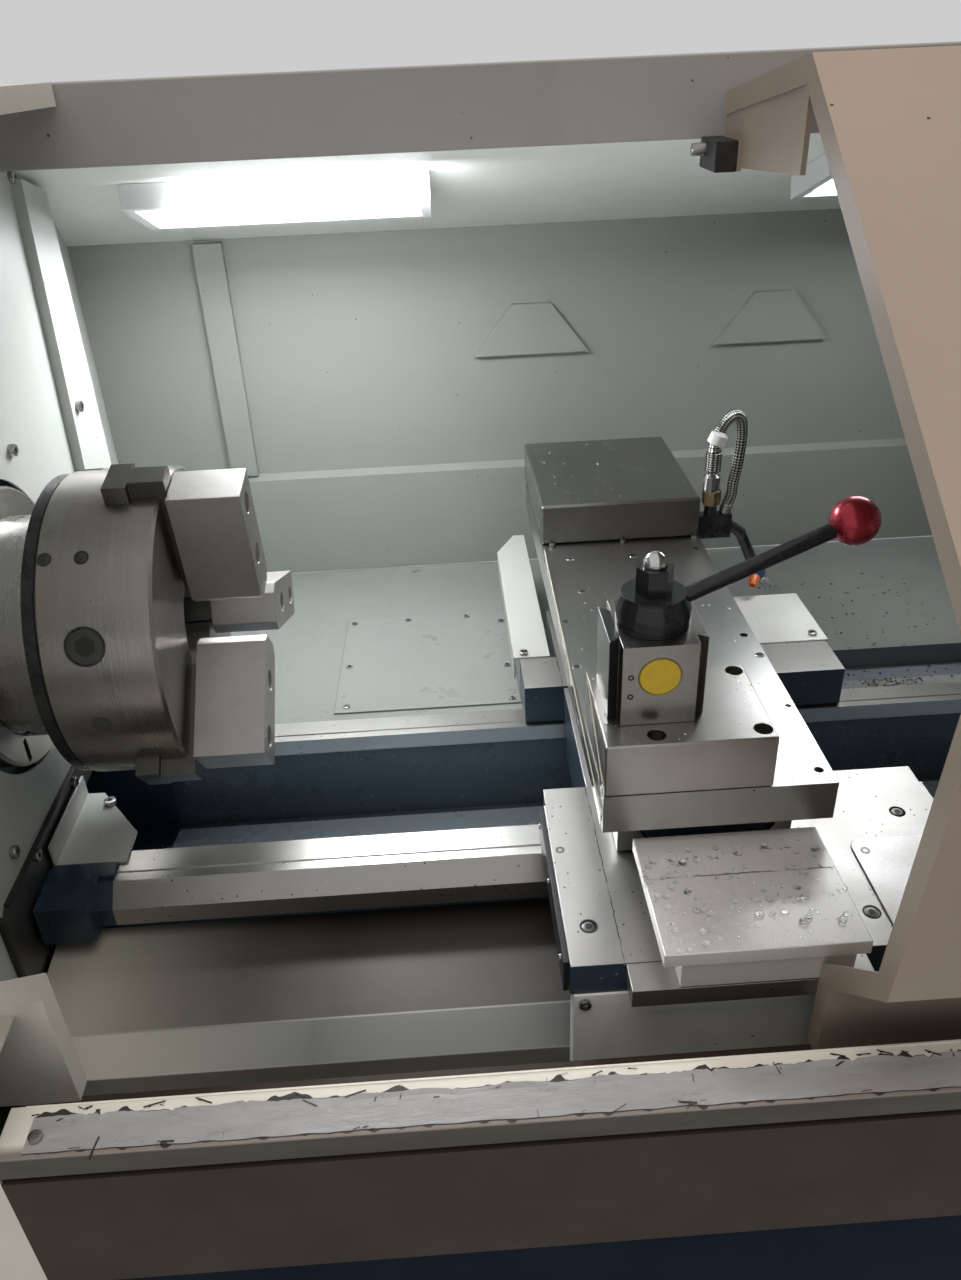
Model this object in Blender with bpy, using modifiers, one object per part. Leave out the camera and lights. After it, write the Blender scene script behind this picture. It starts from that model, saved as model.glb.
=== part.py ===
"""CNC turning lathe: a flat bed in a sheet metal guard, with a three-jaw chuck.

Metres, +Z up. The bed runs along X, the operator stands at -Y, and the origin is
on the floor under the middle of the machine. Every piece hangs on one empty that
sits on the spindle axis at the chuck's face, and each place below is measured
from there: x to the right, y to the back, z up.
"""

import math

import bmesh
import bpy
from mathutils import Matrix, Vector

# Reach of the machine from the chuck's face and the spindle axis
SPINDLE_HEIGHT = 1.180
HEAD_REACH = 1.000
TAIL_REACH = 1.830
REAR_REACH = 0.870
GAP = 0.0003
OVERLAP = 0.002
MERGE = 0.000001
SHEET = 0.003
THIN_SHEET = 0.002
ROUND = 60
SMALL_ROUND = 24
TINY_ROUND = 12
SHARP_ANGLE = math.radians(32)

# Guard section, shared by the door and the covers
LIP_Y = -0.358
LIP_FOOT_Z = -0.280
LIP_TOP_Z = -0.193
KNEE_Y = -0.441
KNEE_Z = -0.108
BELLY_Y = -0.464
BELLY_Z = 0.180
BROW_Y = -0.055
BROW_Z = 0.477
RETURN_Y = 0.176
RETURN_Z = 0.444

# Door
DOOR_LEFT = 0.555
DOOR_WIDTH = 1.250
DOOR_FLANGE = 0.020
GUSSET_FRONT_Y = -0.055
GUSSET_REAR_Y = 0.172
GUSSET_FRONT_Z = 0.393
GUSSET_REAR_Z = 0.379
WINDOW_SIDE = 0.330
WINDOW_FOOT_Z = -0.045
WINDOW_TOP_Z = 0.135
GLASS = 0.006
GRIP_X = 0.090
GRIP_FOOT_Z = -0.020
GRIP_LENGTH = 0.190
GRIP_STAND = 0.040
GRIP_RADIUS = 0.010
RUNNER_LENGTH = 0.058
RUNNER_DEPTH = 0.022
RUNNER_HEIGHT = 0.026

# Left cover
COVER_EDGE_X = -0.085
COVER_LIP_Y = -0.350
COVER_LIP_TOP_Z = -0.150
COVER_KNEE_Z = -0.060
COVER_ROOF_Y = 0.187
COVER_REAR_Y = 0.467
COVER_EAVE_Z = 0.401
FASCIA_TOP_Z = -0.165

# Roof beam, ceiling, rear wall and rear floor
BEAM_FRONT_Y = 0.190
BEAM_REAR_Y = 0.270
BEAM_FOOT_Z = 0.403
BEAM_TOP_Z = 0.476
BEAM_WALL = 0.004
CEILING_LOW_Z = 0.256
WALL_Y = 0.718
WALL_STEP_Z = -0.121
WALL_STEP_DEPTH = 0.024
WALL_STEP_DROP = 0.004
WALL_FOOT_Z = -0.300
PAD_FOOT_Z = 0.0605
PAD_HEIGHT = 0.079
PAD_FOOT_WIDTH = 0.186
PAD_TOP_WIDTH = 0.062
PAD_DEPTH = 0.010
PAD_MIDDLES_X = (0.4145, 0.8045)
PILLAR_LEFT_X = -0.097
PILLAR_WIDTH = 0.044
PILLAR_DEPTH = 0.014
FLOOR_FRONT_Z = -0.2655
FLOOR_REAR_Z = -0.3015
FLOOR_FLANGE = 0.022
GUTTER_LEFT_X = 0.600
GUTTER_FRONT_Y = 0.200
GUTTER_REAR_Y = 0.288
GUTTER_DEPTH = 0.030
GUTTER_END_MARGIN = 0.030
SERVICE_LEFT_X = 0.096
SERVICE_LENGTH = 0.250
SERVICE_FRONT_Y = 0.195
SERVICE_WIDTH = 0.288
SERVICE_THICKNESS = 0.0015

# Lamps under the ceiling
LAMP_LENGTH = 0.358
LAMP_WIDTH = 0.130
LAMP_THICKNESS = 0.028
LAMP_RIM = 0.012
LENS_RECESS = 0.005
LENS_THICKNESS = 0.004
LAMP_MIDDLE_Y = 0.430
LAMP_LEFT_EDGES_X = (-0.093, 0.735)

# Inner wall beside the headstock, and the plates round the bed's end
WALL_X = -0.185
WALL_INSET = 0.006
NOSE_HOLE_RADIUS = 0.150
NOTCH_FRONT_Y = -0.209
NOTCH_CORNER_Y = -0.191
NOTCH_CORNER_Z = -0.212
NOTCH_TOP_Z = -0.200
NOTCH_REAR_Y = 0.205
WALL_BOTTOM_Z = -0.330
RECESS_FRONT_Y = 0.362
RECESS_LEFT_X = -0.285
RECESS_MARGIN = 0.020
STRIP_OUTLINE = ((0.263, 0.0685), (0.358, 0.035), (0.360, 0.368), (0.291, 0.388))
STRIP_DEPTH = 0.012
END_PLATE_MARGIN = 0.035
END_PLATE_RISE = 0.015
END_PLATE_CLEARANCE = 0.0055
ANGLE_FRONT_Y = -0.082
ANGLE_REAR_Y = 0.040
ANGLE_CORNER_Y = -0.034
ANGLE_LENGTH = 0.078
ANGLE_NARROW = 0.022
ANGLE_UPSTAND = 0.030

# Bed
BED_END_SPACE = 0.100
BED_RIGHT_X = 1.500
WAY_Z = -0.255
BED_FOOT_Z = -0.560
FRONT_WAY_BACK_Y = -0.062
FRONT_WAY_GROOVE_Y = -0.095
FRONT_WAY_EDGE_Y = -0.108
FRONT_WAY_FACE_Y = -0.129
FRONT_WAY_CHAMFER = 0.021
FRONT_WAY_DEPTH = 0.043
BED_FRONT_Y = -0.112
BED_WALL = 0.045
REAR_WAY_FRONT_Y = 0.1238
REAR_WAY_GROOVE_Y = 0.1355
REAR_WAY_BACK_Y = 0.1634
REAR_WAY_FACE = 0.0205
REAR_WAY_DEPTH = 0.024
WAY_STEP = 0.004
GROOVE_HALF = 0.0015
GROOVE_DEPTH = 0.002
DECK_FRONT_Z = -0.345
DECK_REAR_Z = -0.385
DECK_THICKNESS = 0.030
BED_FLANGE = 0.035
BED_FLANGE_THICKNESS = 0.025
BED_FLANGE_SLOPE = 0.015
BED_RIB = 0.022
BED_RIB_PITCH = 0.300
END_BLOCK_FRONT_Y = -0.150
END_BLOCK_REAR_Y = -0.083
END_BLOCK_RISE = 0.005
END_BLOCK_LENGTH = 0.070
END_BLOCK_NOTCH = 0.015
END_BLOCK_NOTCH_Y = -0.104

# Pedestals, skirt, front panel, rail, chip tray and coolant tank
PEDESTAL_WALL = 0.014
PEDESTAL_INSET = 0.010
LEFT_PEDESTAL_RIGHT_X = -0.330
RIGHT_PEDESTAL_LEFT_X = 1.250
RIGHT_PEDESTAL_RIGHT_X = 1.780
PEDESTAL_REAR_Y = 0.430
FOOT_HEIGHT = 0.030
FOOT_RADIUS = 0.045
FOOT_STEM_RADIUS = 0.014
FOOT_PAD = 0.012
FOOT_INSET = 0.060
PEDESTAL_PANEL_MARGIN = 0.070
PEDESTAL_PANEL_DEPTH = 0.006
RAIL_LEFT_X = -0.110
RAIL_BACK_Y = -0.398
RAIL_FRONT_Y = -0.443
RAIL_TOP_Z = -0.215
RAIL_BACK_DROP = 0.030
RAIL_FRONT_DROP = 0.024
PANEL_TOP_DROP = 0.0305
PANEL_FOOT_Z = -0.390
PANEL_RETURN = 0.018
LEDGE_REAR_Y = -0.345
SKIRT_Y = -0.438
SKIRT_FOOT_Z = -0.620
SKIRT_RETURN = 0.016
SKIRT_GAP = 0.0005
TRAY_FRONT_Y = -0.434
TRAY_REAR_Y = 0.560
TRAY_TOP_Z = -0.400
TRAY_BEND_Z = -0.560
TRAY_BOTTOM_Z = -0.600
TRAY_BEND_FRONT_Y = -0.300
TRAY_BEND_REAR_Y = 0.428
TRAY_WALL = 0.004
TRAY_END_HEIGHT = 0.034
TANK_FRONT_Y = -0.330
TANK_REAR_Y = 0.430
TANK_TOP_Z = -0.880
TANK_WALL = 0.008
TANK_DECK = 0.300
TANK_DECK_THICKNESS = 0.012

# Headstock and spindle
HEADSTOCK_END_SPACE = 0.140
HEADSTOCK_FACE_X = -0.1995
HEADSTOCK_HALF_WIDTH = 0.190
HEADSTOCK_TOP_Z = 0.200
HEADSTOCK_BEVEL = 0.018
NOSE_RING_RADIUS = 0.142
NOSE_RING_X = -0.176
NOSE_SLOT_ANGLE = math.radians(-55)
NOSE_SLOT_RADIUS = 0.126
NOSE_SLOT_SIZE = (0.008, 0.026)
SPINDLE_RADIUS = 0.080
SPINDLE_END_SPACE = 0.040
SPINDLE_TAIL_RADIUS = 0.062
SPINDLE_TAIL = 0.090
SPINDLE_BORE_RADIUS = 0.041
FLANGE_RADIUS = 0.112
FLANGE_BACK_X = -0.175
PLATE_FACE_X = -0.103
PLATE_BACK_X = -0.114
PLATE_RADIUS = 0.1505

# Chuck, pinions and jaws
CHUCK_RADIUS = 0.1525
CHUCK_BORE_RADIUS = 0.050
CHUCK_CHAMFER = 0.003
JAW_COUNT = 3
JAW_FIRST_ANGLE = math.radians(80.4)
PINION_FIRST_ANGLE = math.radians(20.4)
PINION_X = -0.061
PINION_RADIUS = 0.018
PINION_DEPTH = 0.036
PINION_SUNK = 0.0015
PINION_SOCKET = 0.013
PINION_SOCKET_DEPTH = 0.022
MASTER_NECK = 0.028
MASTER_WING = 0.044
MASTER_DEPTH = 0.048
MASTER_WING_TOP = 0.026
MASTER_RISE = 0.0067
MASTER_INNER = 0.056
MASTER_OUTER = 0.168
JAW_WIDTH = 0.051
JAW_BACK_X = 0.007
JAW_FRONT_X = 0.075
JAW_INNER = 0.0304
JAW_OUTER = 0.1545
JAW_BOLTS = (0.074, 0.132)
JAW_BOLT_RADIUS = 0.0105
JAW_BOLT_DEPTH = 0.024
JAW_TIP_CHAMFER = 0.010

# Saddle, apron and covers
SADDLE_LEFT_X = 0.346
SADDLE_RIGHT_X = 0.752
FRONT_WING_Y = (-0.308, -0.092)
FRONT_WING_TOP_Z = -0.203
FRONT_WING_THICKNESS = 0.036
WAY_PAD_Y = (-0.126, -0.064)
REAR_WING_Y = (0.130, 0.200)
REAR_WING_TOP_Z = -0.201
BRIDGE_LEFT_X = 0.395
BRIDGE_RIGHT_X = 0.605
BRIDGE_FRONT_Y = -0.338
BRIDGE_STEP = 0.001
BRIDGE_REAR_Y = 0.330
BRIDGE_KEEL_Z = -0.300
BRIDGE_KEEL_Y = (-0.055, 0.115)
BRIDGE_NOSE_THICKNESS = 0.021
DOVETAIL_FRONT_Y = -0.165
DOVETAIL_RISE = 0.028
DOVETAIL_HALF_FOOT = 0.052
DOVETAIL_HALF_TOP = 0.068
WING_SCREW_RADIUS = 0.008
WING_SCREW_DEPTH = 0.010
WING_SCREW_MARGIN = 0.045
APRON_FACE_Y = -0.310
APRON_THICKNESS = 0.008
APRON_FOOT_Z = -0.470
APRON_RETURN = 0.034
NUT_MIDDLE_X = 0.520
NUT_LENGTH = 0.090
NUT_HALF = 0.045
SCREW_Y = -0.200
SCREW_Z = -0.395
SCREW_RADIUS = 0.020
SCREW_CLEARANCE = 0.0006
SCREW_LEFT_X = -0.120
SCREW_RIGHT_X = 1.460
SCREW_JOURNAL_RADIUS = 0.015
BEARING_WIDTH = 0.060
BEARING_HALF = 0.036
GUARD_TOP_Z = -0.318
GUARD_BEND_Y = -0.238
GUARD_BEND_Z = -0.334
GUARD_EDGE_Y = -0.284
GUARD_EDGE_Z = -0.342
GUARD_LIP_Z = -0.395
GUARD_FLANGE = 0.015
FRONT_PLATE_X = (0.419, 0.5935)
FRONT_PLATE_Y = (-0.342, -0.200)
FRONT_PLATE_TOP_Z = -0.158
FRONT_PLATE_THICKNESS = 0.014
FRONT_PLATE_RIB_X = (0.4355, 0.5840)
SIDE_COVER_TOP_Z = -0.199
SIDE_COVER_FLANGE = 0.032
LEFT_COVER_X = (0.338, 0.386)
LEFT_COVER_Y = (0.2005, 0.580)
LEFT_COVER_CHAMFER = 0.030
RIGHT_COVER_X = (0.608, 0.755)
RIGHT_COVER_Y = (0.2005, 0.330)

# Cross slide, riser, box and tool post
SLIDE_LEFT_X = 0.3884
SLIDE_RIGHT_X = 0.605
SLIDE_FRONT_Y = -0.208
SLIDE_REAR_Y = 0.560
SLIDE_TOP_Z = -0.0993
SLIDE_TABLE = 0.042
GUIDE_MARGIN = 0.022
GUIDE_FRONT_Y = -0.170
SLIDE_HOLE_RADIUS = 0.0045
SLIDE_HOLE_DEPTH = 0.012
SLIDE_HOLE_MARGIN = 0.012
SLIDE_HOLES_Y = (-0.188, 0.060, 0.290)
RISER_X = (0.389, 0.544)
RISER_Y = (-0.208, -0.086)
RISER_TOP_Z = -0.0433
RISER_HOLES = ((0.437, -0.1935), (0.533, -0.097), (0.533, -0.194))
RISER_HOLE_RADIUS = 0.0085
RISER_HOLE_DEPTH = 0.020
RISER_BEVEL = 0.0012
BOX_Y = (0.326, 0.576)
BOX_TOP_Z = -0.0417
BOX_BEVEL = 0.003
POST_X = 0.441
POST_Y = -0.133
POST_CORE_HALF = 0.034
POST_HALF = 0.044
POST_TOP_Z = 0.039
POST_BORE_RADIUS = 0.0105
DOVETAIL_ROOT = 0.025
DOVETAIL_TIP = 0.033
BADGE_Z = 0.0076
BADGE_RADIUS = 0.0195
BADGE_DEPTH = 0.0008
STUD_RADIUS = 0.010
HEX_FLATS = 0.029
HEX_FOOT_Z = 0.0705
HEX_TOP_Z = 0.095
BALL_RADIUS = 0.0105
BALL_RISE = 0.0025
CAM_RADIUS = 0.034
CAM_SHOULDER_Z = 0.056
CAM_NECK_RADIUS = 0.029
CAM_TOP_Z = 0.070
CAM_GROOVE = 0.003
HANDLE_RADIUS = 0.0072
HANDLE_ROOT_SHARE = 0.14
HANDLE_ROOT_RISE = 0.0115
KNOB_X = 0.620
KNOB_Y = -0.116
KNOB_Z = 0.119
KNOB_RADIUS = 0.022
KNOB_SOCKET = 0.012

# Coolant hose on the right of the box
HOSE_RADIUS = 0.0048
HOSE_LEAD = 0.006
FITTING_X = 0.624
FITTING_Y = 0.345
FITTING_RADIUS = 0.0085
FITTING_LENGTH = 0.026
BRACKET_TOP_Z = -0.074
BRACKET_HEIGHT = 0.034
BRACKET_THICKNESS = 0.016
BRACKET_RIGHT_X = 0.653
HOSE_END_X = 0.6445
SPOUT_RADIUS = 0.0078
SPOUT_PATH = ((0.000, -0.006), (0.016, -0.014), (0.034, -0.052), (0.046, -0.078))
SPOUT_BALL_RADIUS = 0.0115
HOSE_PATH = (
    (0.6200, 0.3450, 0.0000), (0.6190, 0.3450, 0.0180), (0.6220, 0.3470, 0.0340),
    (0.6290, 0.3480, 0.0490), (0.6380, 0.3500, 0.0620), (0.6480, 0.3520, 0.0680),
    (0.6580, 0.3540, 0.0640), (0.6640, 0.3550, 0.0480), (0.6665, 0.3550, 0.0280),
    (0.6655, 0.3540, 0.0060), (0.6620, 0.3520, -0.0140), (0.6570, 0.3500, -0.0320),
    (0.6520, 0.3480, -0.0480), (0.6475, 0.3465, -0.0600),
)

# Tailstock
TAIL_X = (1.150, 1.430)
TAIL_BARREL_RADIUS = 0.078
TAIL_BASE_Y = (-0.150, 0.190)
TAIL_BASE_HEIGHT = 0.045
TAIL_WAIST_HALF = 0.062
TAIL_WAIST_Z = -0.170
QUILL_RADIUS = 0.045
QUILL_NOSE_X = 1.090
QUILL_END_X = 1.380
QUILL_BORE_END_X = 1.405
CENTRE_RADIUS = 0.030
CENTRE_LENGTH = 0.090
CENTRE_BODY_SHARE = 0.45
WHEEL_X = 1.4405
WHEEL_RADIUS = 0.100
WHEEL_RIM = 0.013
WHEEL_HUB_RADIUS = 0.026
WHEEL_HUB_LENGTH = 0.030
WHEEL_SHAFT_RADIUS = 0.012
WHEEL_SPOKES = 3
SPOKE_RADIUS = 0.008
CRANK_RADIUS = 0.010
CRANK_LENGTH = 0.060

# Right cover
RIGHT_COVER_LEFT_X = 1.150
RIGHT_COVER_INSET = 0.036
RIGHT_WALL_FOOT_Z = -0.3295

# Console on the left cover
CONSOLE_X = (-0.760, -0.300)
CONSOLE_Z = (-0.035, 0.165)
CONSOLE_FRONT_Y = -0.488
SCREEN_X = (-0.735, -0.535)
SCREEN_MARGIN = 0.022
SCREEN_DEPTH = 0.004
KEY_SIZE = 0.018
KEY_PITCH = 0.026
KEY_RISE = 0.002
KEY_COLUMNS = 4
KEY_ROWS = 5
KEY_LEFT_X = -0.515
ESTOP_X = -0.340
ESTOP_Z = 0.125
ESTOP_HEAD_RADIUS = 0.019
ESTOP_HEAD = 0.014
ESTOP_STEM_RADIUS = 0.010
ESTOP_TRAVEL = 0.005
ESTOP_SOCKET = 0.016

# Electrical cabinet behind the headstock
CABINET_INSET = 0.015
CABINET_RIGHT_X = -0.335
CABINET_FOOT_Z = -0.700
CABINET_TOP_Z = 0.400
CABINET_WALL = 0.006
CABINET_DOOR = 0.021
LATCH_RADIUS = 0.012
LATCH_DEPTH = 0.003

# What follows from the sizes above
DATUM_X = (HEAD_REACH - TAIL_REACH) / 2
BED_LEFT_X = BED_END_SPACE - HEAD_REACH
HEADSTOCK_LEFT_X = HEADSTOCK_END_SPACE - HEAD_REACH
SPINDLE_END_X = SPINDLE_END_SPACE - HEAD_REACH
SPINDLE_TAIL_X = SPINDLE_END_X + SPINDLE_TAIL
LEFT_PEDESTAL_LEFT_X = PEDESTAL_INSET - HEAD_REACH
CABINET_LEFT_X = CABINET_INSET - HEAD_REACH
FRONT_REACH = GRIP_STAND + GRIP_RADIUS - BELLY_Y
DATUM_Y = (FRONT_REACH - REAR_REACH) / 2
GUARD_PROFILE = (
    (LIP_Y, LIP_FOOT_Z), (LIP_Y, LIP_TOP_Z), (KNEE_Y, KNEE_Z),
    (BELLY_Y, BELLY_Z), (BROW_Y, BROW_Z), (RETURN_Y, RETURN_Z),
)
COVER_PROFILE = (
    (COVER_LIP_Y, LIP_FOOT_Z), (COVER_LIP_Y, COVER_LIP_TOP_Z), (KNEE_Y, COVER_KNEE_Z),
    (BELLY_Y, BELLY_Z), (BROW_Y, BROW_Z), (COVER_ROOF_Y, BROW_Z),
)
SLIDE_MIDDLE_X = (BRIDGE_LEFT_X + BRIDGE_RIGHT_X) / 2
CEILING_SLOPE = math.atan2(CEILING_LOW_Z - BEAM_FOOT_Z, WALL_Y - BEAM_REAR_Y)
FLOOR_FRONT_Y = REAR_WAY_BACK_Y + 2 * GAP
FLOOR_REAR_Y = WALL_Y - WALL_STEP_DEPTH - GAP
FLOOR_SLOPE = math.atan2(FLOOR_REAR_Z - FLOOR_FRONT_Z, FLOOR_REAR_Y - FLOOR_FRONT_Y)
CHAMBER_LEFT_X = WALL_X + GAP
ROOF_LEFT_X = RECESS_LEFT_X - SHEET - GAP
CHAMBER_RIGHT_X = TAIL_REACH - SHEET - GAP

FINISHES = {
    "cream": ((0.62, 0.58, 0.52), 0.42, 0.0),
    "light_grey": ((0.55, 0.58, 0.56), 0.45, 0.0),
    "navy": ((0.020, 0.045, 0.075), 0.40, 0.0),
    "teal": ((0.018, 0.080, 0.120), 0.42, 0.0),
    "ground_steel": ((0.60, 0.59, 0.57), 0.28, 1.0),
    "stainless": ((0.52, 0.53, 0.54), 0.30, 1.0),
    "black": ((0.015, 0.015, 0.016), 0.35, 0.0),
    "red": ((0.45, 0.010, 0.020), 0.15, 0.6),
    "chrome": ((0.75, 0.75, 0.75), 0.12, 1.0),
    "diffuser": ((0.92, 0.94, 0.96), 0.50, 0.0),
    "glass": ((0.70, 0.78, 0.78), 0.08, 0.0),
    "white": ((0.80, 0.79, 0.75), 0.40, 0.0),
}


def clear_scene():
    """Remove what a new file holds."""
    for item in list(bpy.data.objects):
        bpy.data.objects.remove(item, do_unlink=True)


clear_scene()
PARTS = bpy.data.collections.new("cnc_turning_lathe")
CUTTERS = bpy.data.collections.new("cutters")
bpy.context.scene.collection.children.link(PARTS)
bpy.context.scene.collection.children.link(CUTTERS)
DATUM = bpy.data.objects.new("spindle_datum", None)
DATUM.location = (DATUM_X, DATUM_Y, SPINDLE_HEIGHT)
PARTS.objects.link(DATUM)


def paint(item, finish):
    """Give a piece its own Principled material."""
    colour, roughness, metallic = FINISHES[finish]
    material = bpy.data.materials.new(item.name + "_" + finish)
    material.use_nodes = True
    shader = material.node_tree.nodes["Principled BSDF"]
    shader.inputs["Base Color"].default_value = (*colour, 1.0)
    shader.inputs["Roughness"].default_value = roughness
    shader.inputs["Metallic"].default_value = metallic
    material.diffuse_color = (*colour, 1.0)
    item.data.materials.clear()
    item.data.materials.append(material)


def place(name, mesh, finish=None, origin=(0, 0, 0), smooth=False):
    """Make an object of a mesh that lies in the datum's frame, with its own origin."""
    mesh.name = name
    mesh.transform(Matrix.Translation(-Vector(origin)))
    if smooth:
        mesh.shade_smooth()
        mesh.set_sharp_from_angle(angle=SHARP_ANGLE)
    item = bpy.data.objects.new(name, mesh)
    item.location = origin
    item.parent = DATUM
    if finish is None:
        CUTTERS.objects.link(item)
        item.hide_render = True
        item.display_type = "WIRE"
    else:
        PARTS.objects.link(item)
        paint(item, finish)
    return item


def evaluated_mesh(item):
    """Mesh of an object as shown, welded, with its faces pointing out."""
    bpy.context.view_layer.update()
    graph = bpy.context.evaluated_depsgraph_get()
    mesh = bpy.data.meshes.new_from_object(item.evaluated_get(graph))
    bpy.data.objects.remove(item, do_unlink=True)
    work = bmesh.new()
    work.from_mesh(mesh)
    bmesh.ops.remove_doubles(work, verts=work.verts, dist=MERGE)
    bmesh.ops.recalc_face_normals(work, faces=work.faces)
    work.to_mesh(mesh)
    work.free()
    return mesh


def axes_matrix(axis):
    """Turn that brings a drawing's plane square to the named axis."""
    if axis == "X":
        return Matrix(((0, 0, 1, 0), (1, 0, 0, 0), (0, 1, 0, 0), (0, 0, 0, 1)))
    if axis == "Y":
        return Matrix(((1, 0, 0, 0), (0, 0, -1, 0), (0, 1, 0, 0), (0, 0, 0, 1)))
    return Matrix.Identity(4)


def prism(name, outlines, axis, start, end, finish=None, origin=(0, 0, 0)):
    """Flat outline, with any holes after it, extruded from start to end along an axis."""
    if not isinstance(outlines[0][0], (tuple, list)):
        outlines = [outlines]
    curve = bpy.data.curves.new(name, "CURVE")
    curve.dimensions = "2D"
    curve.fill_mode = "BOTH"
    curve.extrude = (end - start) / 2
    for outline in outlines:
        spline = curve.splines.new("POLY")
        spline.points.add(len(outline) - 1)
        for point, (u, v) in zip(spline.points, outline):
            point.co = (u, v, 0, 1)
        spline.use_cyclic_u = True
    item = bpy.data.objects.new(name, curve)
    bpy.context.scene.collection.objects.link(item)
    mesh = evaluated_mesh(item)
    bpy.data.curves.remove(curve)
    mesh.transform(axes_matrix(axis))
    middle = Vector((0, 0, 0))
    middle["XYZ".index(axis)] = (start + end) / 2
    mesh.transform(Matrix.Translation(middle))
    return place(name, mesh, finish, origin)


def block(name, low, high, finish=None, origin=(0, 0, 0), bevel=0.0):
    """Rectangular block between two corners."""
    low, high = Vector(low), Vector(high)
    work = bmesh.new()
    bmesh.ops.create_cube(work, size=1)
    bmesh.ops.scale(work, vec=high - low, verts=work.verts)
    bmesh.ops.translate(work, vec=(low + high) / 2, verts=work.verts)
    mesh = bpy.data.meshes.new(name)
    work.to_mesh(mesh)
    work.free()
    item = place(name, mesh, finish, origin)
    if bevel:
        soften(item, bevel)
    return item


def soften(item, width):
    """Small chamfer on a piece's edges."""
    modifier = item.modifiers.new("edges", "BEVEL")
    modifier.width = width
    modifier.segments = 1
    modifier.limit_method = "ANGLE"


def turned(name, profile, axis, middle, finish=None, origin=(0, 0, 0), steps=ROUND):
    """Profile of (place along the axis, radius) pairs swept round an axis."""
    work = bmesh.new()
    points = [work.verts.new((radius, 0, along)) for along, radius in profile]
    for first, second in zip(points, points[1:]):
        work.edges.new((first, second))
    if profile[0][1] > 0 or profile[-1][1] > 0:
        work.edges.new((points[-1], points[0]))
    mesh = bpy.data.meshes.new(name)
    work.to_mesh(mesh)
    work.free()
    item = bpy.data.objects.new(name, mesh)
    bpy.context.scene.collection.objects.link(item)
    screw = item.modifiers.new("turn", "SCREW")
    screw.steps = steps
    screw.render_steps = steps
    screw.use_merge_vertices = True
    screw.merge_threshold = MERGE
    mesh = evaluated_mesh(item)
    direction = Vector(axis).normalized()
    turn = direction.to_track_quat("Z", "Y").to_matrix().to_4x4()
    mesh.transform(Matrix.Translation(middle) @ turn)
    return place(name, mesh, finish, origin, smooth=True)


def rod(name, start, end, radius, finish=None, origin=(0, 0, 0), steps=SMALL_ROUND):
    """Plain round bar between two points."""
    start, end = Vector(start), Vector(end)
    length = (end - start).length
    profile = ((0, 0), (0, radius), (length, radius), (length, 0))
    return turned(name, profile, end - start, start, finish, origin, steps)


def ball(name, middle, radius, finish=None, origin=(0, 0, 0)):
    """Round ball with its poles up and down."""
    work = bmesh.new()
    bmesh.ops.create_uvsphere(work, u_segments=SMALL_ROUND, v_segments=TINY_ROUND, radius=radius)
    bmesh.ops.translate(work, vec=middle, verts=work.verts)
    mesh = bpy.data.meshes.new(name)
    work.to_mesh(mesh)
    work.free()
    return place(name, mesh, finish, origin, smooth=True)


def tube(name, points, radius, finish=None, origin=(0, 0, 0), resolution=2):
    """Bar of round section along a list of points."""
    curve = bpy.data.curves.new(name, "CURVE")
    curve.dimensions = "3D"
    curve.bevel_depth = radius
    curve.bevel_resolution = resolution
    curve.use_fill_caps = True
    spline = curve.splines.new("POLY")
    spline.points.add(len(points) - 1)
    for point, place_ in zip(spline.points, points):
        point.co = (*place_, 1)
    item = bpy.data.objects.new(name, curve)
    bpy.context.scene.collection.objects.link(item)
    mesh = evaluated_mesh(item)
    bpy.data.curves.remove(curve)
    return place(name, mesh, finish, origin, smooth=True)


def combine(item, others, operation):
    """Boolean a row of cutters with a piece."""
    for other in others:
        modifier = item.modifiers.new(other.name, "BOOLEAN")
        modifier.operation = operation
        modifier.solver = "EXACT"
        modifier.object = other


def cut(item, *others):
    """Take cutters out of a piece."""
    combine(item, others, "DIFFERENCE")


def fuse(item, *others):
    """Join shapes to a piece as one body."""
    combine(item, others, "UNION")


def offset_path(path, distance):
    """Path at a distance to the left of another, with its corners mitred."""
    points = [Vector(point) for point in path]
    runs = [(second - first).normalized() for first, second in zip(points, points[1:])]
    lefts = [Vector((-run.y, run.x)) for run in runs]
    result = []
    for index, point in enumerate(points):
        before = lefts[max(index - 1, 0)]
        after = lefts[min(index, len(lefts) - 1)]
        middle = (before + after).normalized()
        result.append(tuple(point + middle * distance / middle.dot(before)))
    return result


def band(path, thickness):
    """Closed outline of a bent sheet, thickened to the left of its path."""
    return list(path) + offset_path(path, thickness)[::-1]


def folded(name, path, start, end, thickness, finish=None):
    """Bent sheet with its bends along X."""
    return prism(name, band(path, thickness), "X", start, end, finish)


def circle(radius, steps, middle=(0, 0)):
    """Outline of a circle."""
    return [
        (middle[0] + radius * math.cos(math.tau * index / steps),
         middle[1] + radius * math.sin(math.tau * index / steps))
        for index in range(steps)
    ]


def radial(angle):
    """Direction across the spindle, from the front towards the top."""
    return Vector((0, -math.cos(angle), math.sin(angle)))


def jaw_frame(angle):
    """Matrix from a jaw's own frame (x along the spindle, y across, z outwards)."""
    outwards = radial(angle)
    along = Vector((1, 0, 0))
    across = outwards.cross(along)
    return Matrix((along, across, outwards)).transposed().to_4x4()


def turn_mesh(item, matrix):
    """Turn a piece that was drawn in a frame of its own into the datum's frame."""
    item.data.transform(matrix)
    item.location = matrix @ item.location


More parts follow.
